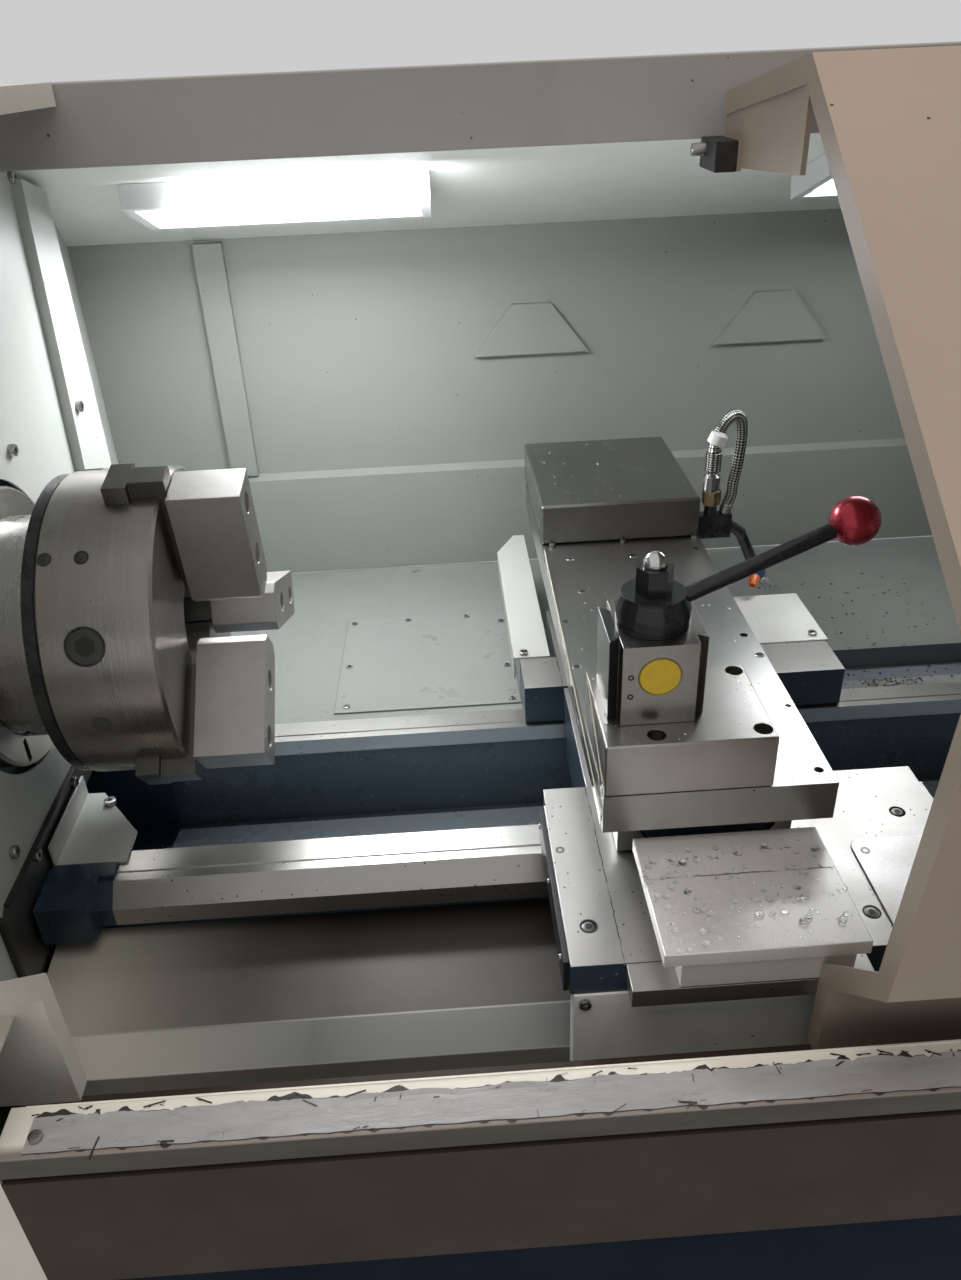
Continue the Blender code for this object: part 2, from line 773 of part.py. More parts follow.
def make_bed():
    """Bed casting: two ground ways, walls, sloping deck, ribs and feet."""
    inner_front = FRONT_WAY_BACK_Y
    inner_rear = REAR_WAY_FRONT_Y + WAY_STEP
    outer_rear = REAR_WAY_BACK_Y - WAY_STEP
    wall_front = BED_FRONT_Y + BED_WALL
    wall_rear = outer_rear - BED_WALL / 2
    flange_z = BED_FOOT_Z + BED_FLANGE_THICKNESS
    face_z = WAY_Z - FRONT_WAY_DEPTH
    outline = [
        (inner_front, WAY_Z),
        (FRONT_WAY_GROOVE_Y + GROOVE_HALF, WAY_Z),
        (FRONT_WAY_GROOVE_Y, WAY_Z - GROOVE_DEPTH),
        (FRONT_WAY_GROOVE_Y - GROOVE_HALF, WAY_Z),
        (FRONT_WAY_EDGE_Y, WAY_Z),
        (FRONT_WAY_FACE_Y, WAY_Z - FRONT_WAY_CHAMFER),
        (FRONT_WAY_FACE_Y, face_z),
        (BED_FRONT_Y, face_z - WAY_STEP),
        (BED_FRONT_Y, flange_z + BED_FLANGE_SLOPE),
        (BED_FRONT_Y - BED_FLANGE, flange_z),
        (BED_FRONT_Y - BED_FLANGE, BED_FOOT_Z),
        (wall_front, BED_FOOT_Z),
        (wall_front, DECK_FRONT_Z - DECK_THICKNESS),
        (wall_rear, DECK_REAR_Z - DECK_THICKNESS),
        (wall_rear, BED_FOOT_Z),
        (outer_rear + BED_FLANGE, BED_FOOT_Z),
        (outer_rear + BED_FLANGE, flange_z),
        (outer_rear, flange_z + BED_FLANGE_SLOPE),
        (outer_rear, WAY_Z - REAR_WAY_DEPTH),
        (REAR_WAY_BACK_Y, WAY_Z - REAR_WAY_FACE),
        (REAR_WAY_BACK_Y, WAY_Z),
        (REAR_WAY_GROOVE_Y + GROOVE_HALF, WAY_Z),
        (REAR_WAY_GROOVE_Y, WAY_Z - GROOVE_DEPTH),
        (REAR_WAY_GROOVE_Y - GROOVE_HALF, WAY_Z),
        (REAR_WAY_FRONT_Y, WAY_Z),
        (REAR_WAY_FRONT_Y, WAY_Z - REAR_WAY_FACE),
        (inner_rear, WAY_Z - REAR_WAY_DEPTH),
        (inner_rear, DECK_REAR_Z),
        (inner_front, DECK_FRONT_Z),
    ]
    bed = prism("bed", outline, "X", BED_LEFT_X, BED_RIGHT_X, "teal")
    fuse(bed, bed_end_block())
    for index, place_x in enumerate(bed_rib_places()):
        low = (place_x, wall_front - OVERLAP, BED_FOOT_Z + BED_FLANGE_THICKNESS)
        high = (place_x + BED_RIB, wall_rear + OVERLAP, DECK_REAR_Z - DECK_THICKNESS / 2)
        fuse(bed, block("bed_rib_%d" % index, low, high))
    for index, place_x in enumerate((SCREW_LEFT_X, SCREW_RIGHT_X - BEARING_WIDTH)):
        fuse(bed, screw_bearing("screw_bearing_%d" % index, place_x))
    for index, place_x in enumerate((SCREW_LEFT_X, SCREW_RIGHT_X - BEARING_WIDTH)):
        cut(bed, rod("screw_bore_%d" % index, (place_x - OVERLAP, SCREW_Y, SCREW_Z),
                     (place_x + BEARING_WIDTH + OVERLAP, SCREW_Y, SCREW_Z),
                     SCREW_JOURNAL_RADIUS + GAP))


def bed_rib_places():
    """Places along X of the ribs under the deck."""
    count = int((BED_RIGHT_X - BED_LEFT_X) / BED_RIB_PITCH)
    return [BED_LEFT_X + BED_RIB_PITCH * (index + 1 / 2) for index in range(count)]


def bed_end_block():
    """Raised lug in front of the inner wall, where the front way starts."""
    left = WALL_X + GAP
    right = WALL_X + END_BLOCK_LENGTH
    outline = [
        (left, END_BLOCK_REAR_Y), (right, END_BLOCK_REAR_Y), (right, END_BLOCK_NOTCH_Y),
        (right - END_BLOCK_NOTCH, END_BLOCK_NOTCH_Y), (right - END_BLOCK_NOTCH, END_BLOCK_FRONT_Y),
        (left, END_BLOCK_FRONT_Y),
    ]
    return prism("bed_end_lug", outline, "Z", WAY_Z - FRONT_WAY_DEPTH, WAY_Z + END_BLOCK_RISE)


def screw_bearing(name, left):
    """Block on the bed's front wall that holds one end of the ball screw."""
    low = (left, SCREW_Y - BEARING_HALF, SCREW_Z - BEARING_HALF)
    high = (left + BEARING_WIDTH, BED_FRONT_Y + OVERLAP, SCREW_Z + BEARING_HALF)
    return block(name, low, high)


def make_ball_screw():
    """Ball screw along the front of the bed, with plain journals in its bearings."""
    left, right = SCREW_LEFT_X, SCREW_RIGHT_X
    outline = (
        (left, 0), (left, SCREW_JOURNAL_RADIUS),
        (left + BEARING_WIDTH + GAP, SCREW_JOURNAL_RADIUS),
        (left + BEARING_WIDTH + GAP, SCREW_RADIUS),
        (right - BEARING_WIDTH - GAP, SCREW_RADIUS),
        (right - BEARING_WIDTH - GAP, SCREW_JOURNAL_RADIUS),
        (right, SCREW_JOURNAL_RADIUS), (right, 0),
    )
    middle = (0, SCREW_Y, SCREW_Z)
    turned("ball_screw", outline, (1, 0, 0), middle, "ground_steel", middle, SMALL_ROUND)


def make_screw_guard():
    """Stainless cover over the ball screw, hung on the bed's front wall."""
    top_y = BED_FRONT_Y - GAP
    path = (
        (top_y, GUARD_TOP_Z - GUARD_FLANGE), (top_y, GUARD_TOP_Z),
        (GUARD_BEND_Y, GUARD_BEND_Z), (GUARD_EDGE_Y, GUARD_EDGE_Z), (GUARD_EDGE_Y, GUARD_LIP_Z),
    )
    folded("screw_guard", path, CHAMBER_LEFT_X, BED_RIGHT_X - OVERLAP, THIN_SHEET, "stainless")


def make_pedestal(name, left, right):
    """Hollow pedestal, open below, with a sunk front panel and four levelling feet."""
    front = SKIRT_Y + SHEET + SKIRT_GAP
    top = BED_FOOT_Z - GAP
    foot = FOOT_HEIGHT - SPINDLE_HEIGHT
    item = block(name, (left, front, foot), (right, PEDESTAL_REAR_Y, top), "navy")
    cut(item, block(name + "_hollow",
                    (left + PEDESTAL_WALL, front + PEDESTAL_WALL, foot - OVERLAP),
                    (right - PEDESTAL_WALL, PEDESTAL_REAR_Y - PEDESTAL_WALL, top - PEDESTAL_WALL)))
    cut(item, block(name + "_panel",
                    (left + PEDESTAL_PANEL_MARGIN, front - OVERLAP, foot + PEDESTAL_PANEL_MARGIN),
                    (right - PEDESTAL_PANEL_MARGIN, front + PEDESTAL_PANEL_DEPTH,
                     SKIRT_FOOT_Z - PEDESTAL_PANEL_MARGIN)))
    corners = [(x, y) for x in (left + FOOT_INSET, right - FOOT_INSET)
               for y in (front + FOOT_INSET, PEDESTAL_REAR_Y - FOOT_INSET)]
    for index, corner in enumerate(corners):
        fuse(item, *levelling_foot("%s_foot_%d" % (name, index), corner, foot, top))


def levelling_foot(name, corner, foot, top):
    """Round pad on a screw, under a corner plate of the pedestal."""
    half = FOOT_INSET
    plate = block(name + "_plate", (corner[0] - half + OVERLAP, corner[1] - half + OVERLAP, foot),
                  (corner[0] + half, corner[1] + half, foot + PEDESTAL_WALL))
    profile = (
        (0, 0), (0, FOOT_RADIUS), (FOOT_PAD, FOOT_RADIUS), (FOOT_PAD, FOOT_STEM_RADIUS),
        (FOOT_HEIGHT + PEDESTAL_WALL * 2, FOOT_STEM_RADIUS), (FOOT_HEIGHT + PEDESTAL_WALL * 2, 0),
    )
    middle = (corner[0], corner[1], -SPINDLE_HEIGHT)
    stem = turned(name, profile, (0, 0, 1), middle, None, (0, 0, 0), TINY_ROUND)
    return plate, stem


def make_front():
    """Rail under the door, cream front panel and navy skirt."""
    right = TAIL_REACH - GAP
    rail = (
        (RAIL_FRONT_Y, RAIL_TOP_Z - RAIL_FRONT_DROP), (RAIL_FRONT_Y, RAIL_TOP_Z),
        (RAIL_BACK_Y, RAIL_TOP_Z), (RAIL_BACK_Y, RAIL_TOP_Z - RAIL_BACK_DROP),
    )
    folded("front_rail", rail, RAIL_LEFT_X, right, -THIN_SHEET, "stainless")
    top = RAIL_TOP_Z - PANEL_TOP_DROP
    panel = (
        (RAIL_FRONT_Y + PANEL_RETURN, PANEL_FOOT_Z), (RAIL_FRONT_Y, PANEL_FOOT_Z),
        (RAIL_FRONT_Y, top), (RAIL_BACK_Y, top), (RAIL_BACK_Y, LIP_FOOT_Z - GAP),
        (LEDGE_REAR_Y, LIP_FOOT_Z - GAP),
    )
    folded("front_panel", panel, RAIL_LEFT_X, right, -SHEET, "cream")
    skirt_top = PANEL_FOOT_Z - SKIRT_GAP
    skirt = ((SKIRT_Y, SKIRT_FOOT_Z), (SKIRT_Y, skirt_top), (SKIRT_Y + SKIRT_RETURN, skirt_top))
    folded("front_skirt", skirt, -HEAD_REACH, right, -SHEET, "navy")


def make_chip_tray():
    """Pan between the pedestals that catches chips and coolant."""
    left = LEFT_PEDESTAL_RIGHT_X + GAP
    right = RIGHT_PEDESTAL_LEFT_X - GAP
    path = (
        (TRAY_FRONT_Y, TRAY_TOP_Z), (TRAY_FRONT_Y, TRAY_BEND_Z), (TRAY_BEND_FRONT_Y, TRAY_BOTTOM_Z),
        (TRAY_BEND_REAR_Y, TRAY_BOTTOM_Z), (TRAY_REAR_Y, TRAY_BEND_Z), (TRAY_REAR_Y, TRAY_TOP_Z),
    )
    tray = folded("chip_tray", path, left, right, TRAY_WALL, "stainless")
    for index, place_x in enumerate((left, right - TRAY_WALL)):
        low = (place_x, TRAY_BEND_FRONT_Y, TRAY_BOTTOM_Z + TRAY_WALL / 2)
        high = (place_x + TRAY_WALL, TRAY_BEND_REAR_Y, TRAY_BOTTOM_Z + TRAY_END_HEIGHT)
        fuse(tray, block("chip_tray_end_%d" % index, low, high))


def make_tank():
    """Coolant tank on the floor between the pedestals, decked at its right end."""
    left = LEFT_PEDESTAL_RIGHT_X + GAP
    right = RIGHT_PEDESTAL_LEFT_X - GAP
    floor = -SPINDLE_HEIGHT
    tank = block("coolant_tank", (left, TANK_FRONT_Y, floor), (right, TANK_REAR_Y, TANK_TOP_Z), "navy")
    cut(tank, block("tank_well", (left + TANK_WALL, TANK_FRONT_Y + TANK_WALL, floor + TANK_WALL),
                    (right - TANK_DECK, TANK_REAR_Y - TANK_WALL, TANK_TOP_Z + OVERLAP)))
    cut(tank, block("tank_end_well",
                    (right - TANK_DECK - OVERLAP, TANK_FRONT_Y + TANK_WALL, floor + TANK_WALL),
                    (right - TANK_WALL, TANK_REAR_Y - TANK_WALL, TANK_TOP_Z - TANK_DECK_THICKNESS)))


def make_left_cover():
    """Outer cover of the headstock end, with its front edge beside the door."""
    left = -HEAD_REACH
    cover = folded("left_cover", COVER_PROFILE, left, COVER_EDGE_X, -SHEET, "cream")
    edge = prism("left_cover_edge", band(COVER_PROFILE, -DOOR_FLANGE), "X",
                 COVER_EDGE_X - SHEET, COVER_EDGE_X)
    fuse(cover, edge)
    rear_path = (
        (COVER_ROOF_Y - OVERLAP, BROW_Z), (COVER_ROOF_Y, BROW_Z),
        (COVER_REAR_Y, COVER_EAVE_Z), (COVER_REAR_Y, BED_FOOT_Z + GAP),
    )
    fuse(cover, folded("left_cover_rear", rear_path, left, ROOF_LEFT_X - GAP, -SHEET))
    foot = BED_FOOT_Z + GAP
    behind_skirt = SKIRT_Y + SKIRT_RETURN + GAP
    end_outline = [
        (behind_skirt, foot), (behind_skirt, PANEL_FOOT_Z),
        (RAIL_FRONT_Y + OVERLAP, PANEL_FOOT_Z), (RAIL_FRONT_Y + OVERLAP, FASCIA_TOP_Z - OVERLAP),
        (COVER_LIP_Y + OVERLAP, FASCIA_TOP_Z - OVERLAP),
        (COVER_LIP_Y + OVERLAP, COVER_LIP_TOP_Z), (KNEE_Y + OVERLAP, COVER_KNEE_Z),
        (BELLY_Y + OVERLAP, BELLY_Z), (BROW_Y, BROW_Z - OVERLAP), (COVER_ROOF_Y, BROW_Z - OVERLAP),
        (COVER_REAR_Y - OVERLAP, COVER_EAVE_Z), (COVER_REAR_Y - OVERLAP, foot),
    ]
    fuse(cover, prism("left_cover_end", end_outline, "X", left, left + SHEET))
    fascia = (
        (RAIL_FRONT_Y, PANEL_FOOT_Z), (RAIL_FRONT_Y, FASCIA_TOP_Z),
        (COVER_LIP_Y + OVERLAP, FASCIA_TOP_Z),
    )
    fuse(cover, folded("left_cover_fascia", fascia, left, RAIL_LEFT_X - GAP, -SHEET))


def ceiling_z(place_y):
    """Height of the ceiling's underside at a place across the machine."""
    return BEAM_FOOT_Z + math.tan(CEILING_SLOPE) * (place_y - BEAM_REAR_Y)


def recess_outline(grow):
    """Plan of the slanted panel from the inner wall to the rear wall, thickened by grow."""
    front, rear = RECESS_FRONT_Y - SHEET, WALL_Y - GAP
    return [
        (WALL_X + grow, front), (RECESS_LEFT_X + grow, rear),
        (RECESS_LEFT_X - SHEET - grow, rear), (WALL_X - SHEET - grow, front),
    ]


def make_inner_wall():
    """Wall between the headstock and the chamber, with the spindle's hole."""
    inner = offset_path(COVER_PROFILE, -SHEET - WALL_INSET)
    rear = RECESS_FRONT_Y - SHEET + 2 * GAP
    outline = [
        (COVER_LIP_Y + SHEET + WALL_INSET, WALL_BOTTOM_Z), (NOTCH_FRONT_Y, WALL_BOTTOM_Z),
        (NOTCH_FRONT_Y, NOTCH_CORNER_Z), (NOTCH_CORNER_Y, NOTCH_TOP_Z),
        (NOTCH_REAR_Y, NOTCH_TOP_Z), (NOTCH_REAR_Y, WALL_BOTTOM_Z),
        (rear, WALL_BOTTOM_Z), (rear, ceiling_z(rear) - GAP),
        (BEAM_REAR_Y, BEAM_FOOT_Z - GAP), (BEAM_FRONT_Y - GAP, BEAM_FOOT_Z - GAP),
        (BEAM_FRONT_Y - GAP, inner[-1][1]), inner[-1], inner[-2], inner[-3], inner[-4], inner[-5],
    ]
    hole = circle(NOSE_HOLE_RADIUS, ROUND)
    wall = prism("left_wall", [outline, hole], "X", WALL_X - SHEET, WALL_X, "light_grey")
    panel = prism("recess_panel", recess_outline(0), "Z", WALL_BOTTOM_Z, BEAM_FOOT_Z)
    roof = [
        (BEAM_REAR_Y, ceiling_z(BEAM_REAR_Y) - GAP),
        (WALL_Y + RECESS_MARGIN, ceiling_z(WALL_Y + RECESS_MARGIN) - GAP),
        (WALL_Y + RECESS_MARGIN, BEAM_TOP_Z), (BEAM_REAR_Y, BEAM_TOP_Z),
    ]
    left, right = RECESS_LEFT_X - RECESS_MARGIN, WALL_X + RECESS_MARGIN
    cut(panel, prism("recess_top", roof, "X", left, right),
        block("recess_step", (left, FLOOR_REAR_Y, WALL_BOTTOM_Z - OVERLAP),
              (right, WALL_Y, WALL_STEP_Z + GAP)))
    fuse(wall, panel, prism("wall_strip", list(STRIP_OUTLINE), "X", WALL_X - SHEET / 2,
                            WALL_X + STRIP_DEPTH))


def make_end_plates():
    """Stainless plate round the bed behind the wall's notch, and a folded angle on the bed."""
    front = NOTCH_FRONT_Y - END_PLATE_MARGIN
    rear = NOTCH_REAR_Y + END_PLATE_MARGIN
    top = NOTCH_TOP_Z + END_PLATE_RISE
    bed_front = FRONT_WAY_FACE_Y - END_PLATE_CLEARANCE
    bed_rear = REAR_WAY_BACK_Y + END_PLATE_CLEARANCE
    bed_top = WAY_Z + END_PLATE_CLEARANCE
    outline = [
        (front, WALL_BOTTOM_Z), (bed_front, WALL_BOTTOM_Z), (bed_front, bed_top),
        (bed_rear, bed_top), (bed_rear, WALL_BOTTOM_Z), (rear, WALL_BOTTOM_Z),
        (rear, top), (front + END_PLATE_MARGIN, top), (front, top - END_PLATE_MARGIN),
    ]
    back = WALL_X - SHEET - GAP
    prism("bed_end_plate", outline, "X", back - SHEET, back, "stainless")
    left = WALL_X + GAP
    right = left + ANGLE_LENGTH
    plan = [
        (left, ANGLE_FRONT_Y), (right, ANGLE_FRONT_Y), (right, ANGLE_CORNER_Y),
        (left + ANGLE_NARROW, ANGLE_REAR_Y), (left, ANGLE_REAR_Y),
    ]
    foot = WAY_Z + GAP
    angle = prism("way_end_angle", plan, "Z", foot, foot + SHEET, "white")
    fuse(angle, block("way_end_upstand", (left, ANGLE_FRONT_Y, foot),
                      (left + SHEET, ANGLE_REAR_Y, foot + ANGLE_UPSTAND)))


def make_roof():
    """Hollow beam over the door opening and the sloping ceiling behind it."""
    outer = [
        (BEAM_FRONT_Y, BEAM_FOOT_Z), (BEAM_REAR_Y, BEAM_FOOT_Z),
        (BEAM_REAR_Y, BEAM_TOP_Z), (BEAM_FRONT_Y, BEAM_TOP_Z),
    ]
    wall = BEAM_WALL
    inner = [
        (BEAM_FRONT_Y + wall, BEAM_FOOT_Z + wall), (BEAM_REAR_Y - wall, BEAM_FOOT_Z + wall),
        (BEAM_REAR_Y - wall, BEAM_TOP_Z - wall), (BEAM_FRONT_Y + wall, BEAM_TOP_Z - wall),
    ]
    prism("roof_beam", [outer, inner], "X", ROOF_LEFT_X, TAIL_REACH, "cream")
    path = (
        (BEAM_REAR_Y + GAP, BEAM_FOOT_Z + SHEET), (BEAM_REAR_Y + GAP, BEAM_FOOT_Z),
        (WALL_Y - GAP, CEILING_LOW_Z),
    )
    folded("ceiling_panel", path, ROOF_LEFT_X, CHAMBER_RIGHT_X, THIN_SHEET, "light_grey")


def make_rear_wall():
    """Rear wall with its drip step, two pressed pads and an upright fold."""
    step_y = WALL_Y - WALL_STEP_DEPTH
    path = (
        (step_y, WALL_FOOT_Z), (step_y, WALL_STEP_Z - WALL_STEP_DROP),
        (WALL_Y, WALL_STEP_Z), (WALL_Y, CEILING_LOW_Z),
    )
    wall = folded("rear_wall", path, ROOF_LEFT_X, CHAMBER_RIGHT_X, -THIN_SHEET, "light_grey")
    for index, middle in enumerate(PAD_MIDDLES_X):
        outline = [
            (middle - PAD_FOOT_WIDTH / 2, PAD_FOOT_Z), (middle + PAD_FOOT_WIDTH / 2, PAD_FOOT_Z),
            (middle + PAD_TOP_WIDTH / 2, PAD_FOOT_Z + PAD_HEIGHT),
            (middle - PAD_TOP_WIDTH / 2, PAD_FOOT_Z + PAD_HEIGHT),
        ]
        fuse(wall, prism("wall_pad_%d" % index, outline, "Y", WALL_Y - PAD_DEPTH,
                         WALL_Y + THIN_SHEET / 2))
    low = (PILLAR_LEFT_X, WALL_Y - PILLAR_DEPTH, WALL_STEP_Z + OVERLAP)
    high = (PILLAR_LEFT_X + PILLAR_WIDTH, WALL_Y + THIN_SHEET / 2, CEILING_LOW_Z - 2 * OVERLAP)
    fuse(wall, block("wall_pillar", low, high))


def floor_z(place_y):
    """Height of the rear floor's top face at a place across the machine."""
    return FLOOR_FRONT_Z + math.tan(FLOOR_SLOPE) * (place_y - FLOOR_FRONT_Y)


def make_rear_floor():
    """Sloping floor behind the bed, its drain gutter and the service plate on it."""
    path = (
        (FLOOR_FRONT_Y, FLOOR_FRONT_Z - FLOOR_FLANGE), (FLOOR_FRONT_Y, FLOOR_FRONT_Z),
        (FLOOR_REAR_Y, FLOOR_REAR_Z),
    )
    floor = folded("rear_floor", path, ROOF_LEFT_X, CHAMBER_RIGHT_X, -THIN_SHEET, "light_grey")
    (front_x, front_y), (rear_x, rear_y) = recess_outline(GAP)[:2]
    left = ROOF_LEFT_X - RECESS_MARGIN
    corner = [(left, FLOOR_FRONT_Y - RECESS_MARGIN), (front_x, FLOOR_FRONT_Y - RECESS_MARGIN),
              (front_x, front_y), (rear_x, rear_y), (rear_x, WALL_Y), (left, WALL_Y)]
    cut(floor, prism("recess_corner", corner, "Z", FLOOR_REAR_Z - RECESS_MARGIN - FLOOR_FLANGE,
                     FLOOR_FRONT_Z + RECESS_MARGIN))
    right = CHAMBER_RIGHT_X - GUTTER_END_MARGIN
    low = (GUTTER_LEFT_X, GUTTER_FRONT_Y, FLOOR_REAR_Z - OVERLAP)
    high = (right, GUTTER_REAR_Y, FLOOR_FRONT_Z + OVERLAP)
    cut(floor, block("gutter_opening", low, high))
    top_front = floor_z(GUTTER_FRONT_Y) - THIN_SHEET / 2
    top_rear = floor_z(GUTTER_REAR_Y) - THIN_SHEET / 2
    bottom = top_rear - GUTTER_DEPTH
    gutter = (
        (GUTTER_FRONT_Y, top_front), (GUTTER_FRONT_Y, bottom), (GUTTER_REAR_Y, bottom),
        (GUTTER_REAR_Y, top_rear),
    )
    fuse(floor, folded("gutter", gutter, GUTTER_LEFT_X - THIN_SHEET / 2, right + THIN_SHEET / 2,
                       -THIN_SHEET))
    for index, place_x in enumerate((GUTTER_LEFT_X - THIN_SHEET, right)):
        low = (place_x, GUTTER_FRONT_Y - THIN_SHEET / 2, bottom - THIN_SHEET / 2)
        high = (place_x + THIN_SHEET, GUTTER_REAR_Y + THIN_SHEET / 2, top_rear - THIN_SHEET / 4)
        fuse(floor, block("gutter_end_%d" % index, low, high))
    make_service_plate()


def make_service_plate():
    """Galvanised plate screwed on the rear floor."""
    size = (SERVICE_LENGTH, SERVICE_WIDTH, SERVICE_THICKNESS)
    plate = block("service_plate", (0, 0, GAP), (size[0], size[1], size[2] + GAP), "stainless")
    plate.location = (SERVICE_LEFT_X, SERVICE_FRONT_Y, floor_z(SERVICE_FRONT_Y) + GAP)
    plate.rotation_euler = (FLOOR_SLOPE, 0, 0)


def make_lamps():
    """Two flat work lamps under the ceiling, each a shallow case and a diffuser."""
    for side, left in zip(("left", "right"), LAMP_LEFT_EDGES_X):
        case = block("lamp_" + side, (0, -LAMP_WIDTH / 2, -LAMP_THICKNESS),
                     (LAMP_LENGTH, LAMP_WIDTH / 2, -2 * GAP), "cream")
        well = block("lamp_well_" + side,
                     (LAMP_RIM, LAMP_RIM - LAMP_WIDTH / 2, -LAMP_THICKNESS - OVERLAP),
                     (LAMP_LENGTH - LAMP_RIM, LAMP_WIDTH / 2 - LAMP_RIM,
                      LENS_RECESS + LENS_THICKNESS + GAP - LAMP_THICKNESS))
        cut(case, well)
        edge = LAMP_RIM + GAP
        lens = block("lamp_%s_lens" % side, (edge, edge - LAMP_WIDTH / 2, LENS_RECESS - LAMP_THICKNESS),
                     (LAMP_LENGTH - edge, LAMP_WIDTH / 2 - edge,
                      LENS_RECESS + LENS_THICKNESS - LAMP_THICKNESS), "diffuser")
        for item in (case, well, lens):
            item.location = (left, LAMP_MIDDLE_Y, ceiling_z(LAMP_MIDDLE_Y))
            item.rotation_euler = (CEILING_SLOPE, 0, 0)


def make_right_cover():
    """Fixed cover behind the open door, closed by the right end plate."""
    profile = offset_path(GUARD_PROFILE, -RIGHT_COVER_INSET)
    profile[0] = (profile[1][0], RIGHT_WALL_FOOT_Z)
    (before_y, before_z), (last_y, last_z) = profile[-2:]
    share = (BEAM_FRONT_Y - GAP - before_y) / (last_y - before_y)
    profile[-1] = (BEAM_FRONT_Y - GAP, before_z + (last_z - before_z) * share)
    cover = folded("right_cover", profile, RIGHT_COVER_LEFT_X, TAIL_REACH, -SHEET, "cream")
    outline = [
        *[(y + OVERLAP / 2, z - OVERLAP / 2) for y, z in profile[:-1]],
        (BEAM_FRONT_Y - GAP, profile[-1][1] - OVERLAP / 2), (BEAM_FRONT_Y - GAP, BEAM_FOOT_Z - GAP),
        (BEAM_REAR_Y, BEAM_FOOT_Z - GAP), (WALL_Y + THIN_SHEET, CEILING_LOW_Z),
        (WALL_Y + THIN_SHEET, RIGHT_WALL_FOOT_Z),
    ]
    fuse(cover, prism("right_cover_end", outline, "X", TAIL_REACH - SHEET, TAIL_REACH))


def make_headstock():
    """Headstock casting on the bed and the ground ring at its nose."""
    low = (HEADSTOCK_LEFT_X, -HEADSTOCK_HALF_WIDTH, WAY_Z + GAP)
    high = (HEADSTOCK_FACE_X, HEADSTOCK_HALF_WIDTH, HEADSTOCK_TOP_Z)
    casting = block("headstock", low, high, "teal", bevel=HEADSTOCK_BEVEL)
    cut(casting, rod("headstock_bore", (HEADSTOCK_LEFT_X - OVERLAP, 0, 0),
                     (HEADSTOCK_FACE_X + OVERLAP, 0, 0), SPINDLE_RADIUS + GAP, steps=ROUND))
    left = HEADSTOCK_FACE_X + GAP
    inner = SPINDLE_RADIUS + GAP
    bevel = CHUCK_CHAMFER
    profile = (
        (left, inner), (left, NOSE_RING_RADIUS), (NOSE_RING_X - bevel, NOSE_RING_RADIUS),
        (NOSE_RING_X, NOSE_RING_RADIUS - bevel), (NOSE_RING_X, inner),
    )
    ring = turned("nose_ring", profile, (1, 0, 0), (0, 0, 0), "ground_steel")
    middle = radial(NOSE_SLOT_ANGLE) * NOSE_SLOT_RADIUS
    half_y, half_z = NOSE_SLOT_SIZE[0] / 2, NOSE_SLOT_SIZE[1] / 2
    cut(ring, block("nose_slot", (NOSE_RING_X - NOSE_SLOT_SIZE[0], middle.y - half_y, middle.z - half_z),
                    (NOSE_RING_X + OVERLAP, middle.y + half_y, middle.z + half_z)))


def make_spindle():
    """Hollow spindle with its flange, and the black plate behind the chuck."""
    bore = SPINDLE_BORE_RADIUS
    front = PLATE_BACK_X - GAP
    profile = (
        (SPINDLE_END_X, bore), (SPINDLE_END_X, SPINDLE_TAIL_RADIUS),
        (SPINDLE_TAIL_X, SPINDLE_TAIL_RADIUS), (SPINDLE_TAIL_X, SPINDLE_RADIUS),
        (FLANGE_BACK_X, SPINDLE_RADIUS), (FLANGE_BACK_X, FLANGE_RADIUS),
        (front, FLANGE_RADIUS), (front, bore),
    )
    turned("spindle", profile, (1, 0, 0), (0, 0, 0), "ground_steel")
    plate = (
        (PLATE_BACK_X, bore), (PLATE_BACK_X, PLATE_RADIUS),
        (PLATE_FACE_X - GAP, PLATE_RADIUS), (PLATE_FACE_X - GAP, bore),
    )
    turned("chuck_plate", plate, (1, 0, 0), (0, 0, 0), "black")


def slot_outline(grow):
    """Section of a master jaw, or of its slot where it is grown, as (x, across) pairs."""
    top = MASTER_RISE
    neck = MASTER_NECK / 2 + grow
    wing = MASTER_WING / 2 + grow
    wing_top = -MASTER_WING_TOP + grow
    foot = -MASTER_DEPTH - grow
    return [
        (foot, -wing), (wing_top, -wing), (wing_top, -neck), (top, -neck),
        (top, neck), (wing_top, neck), (wing_top, wing), (foot, wing),
    ]


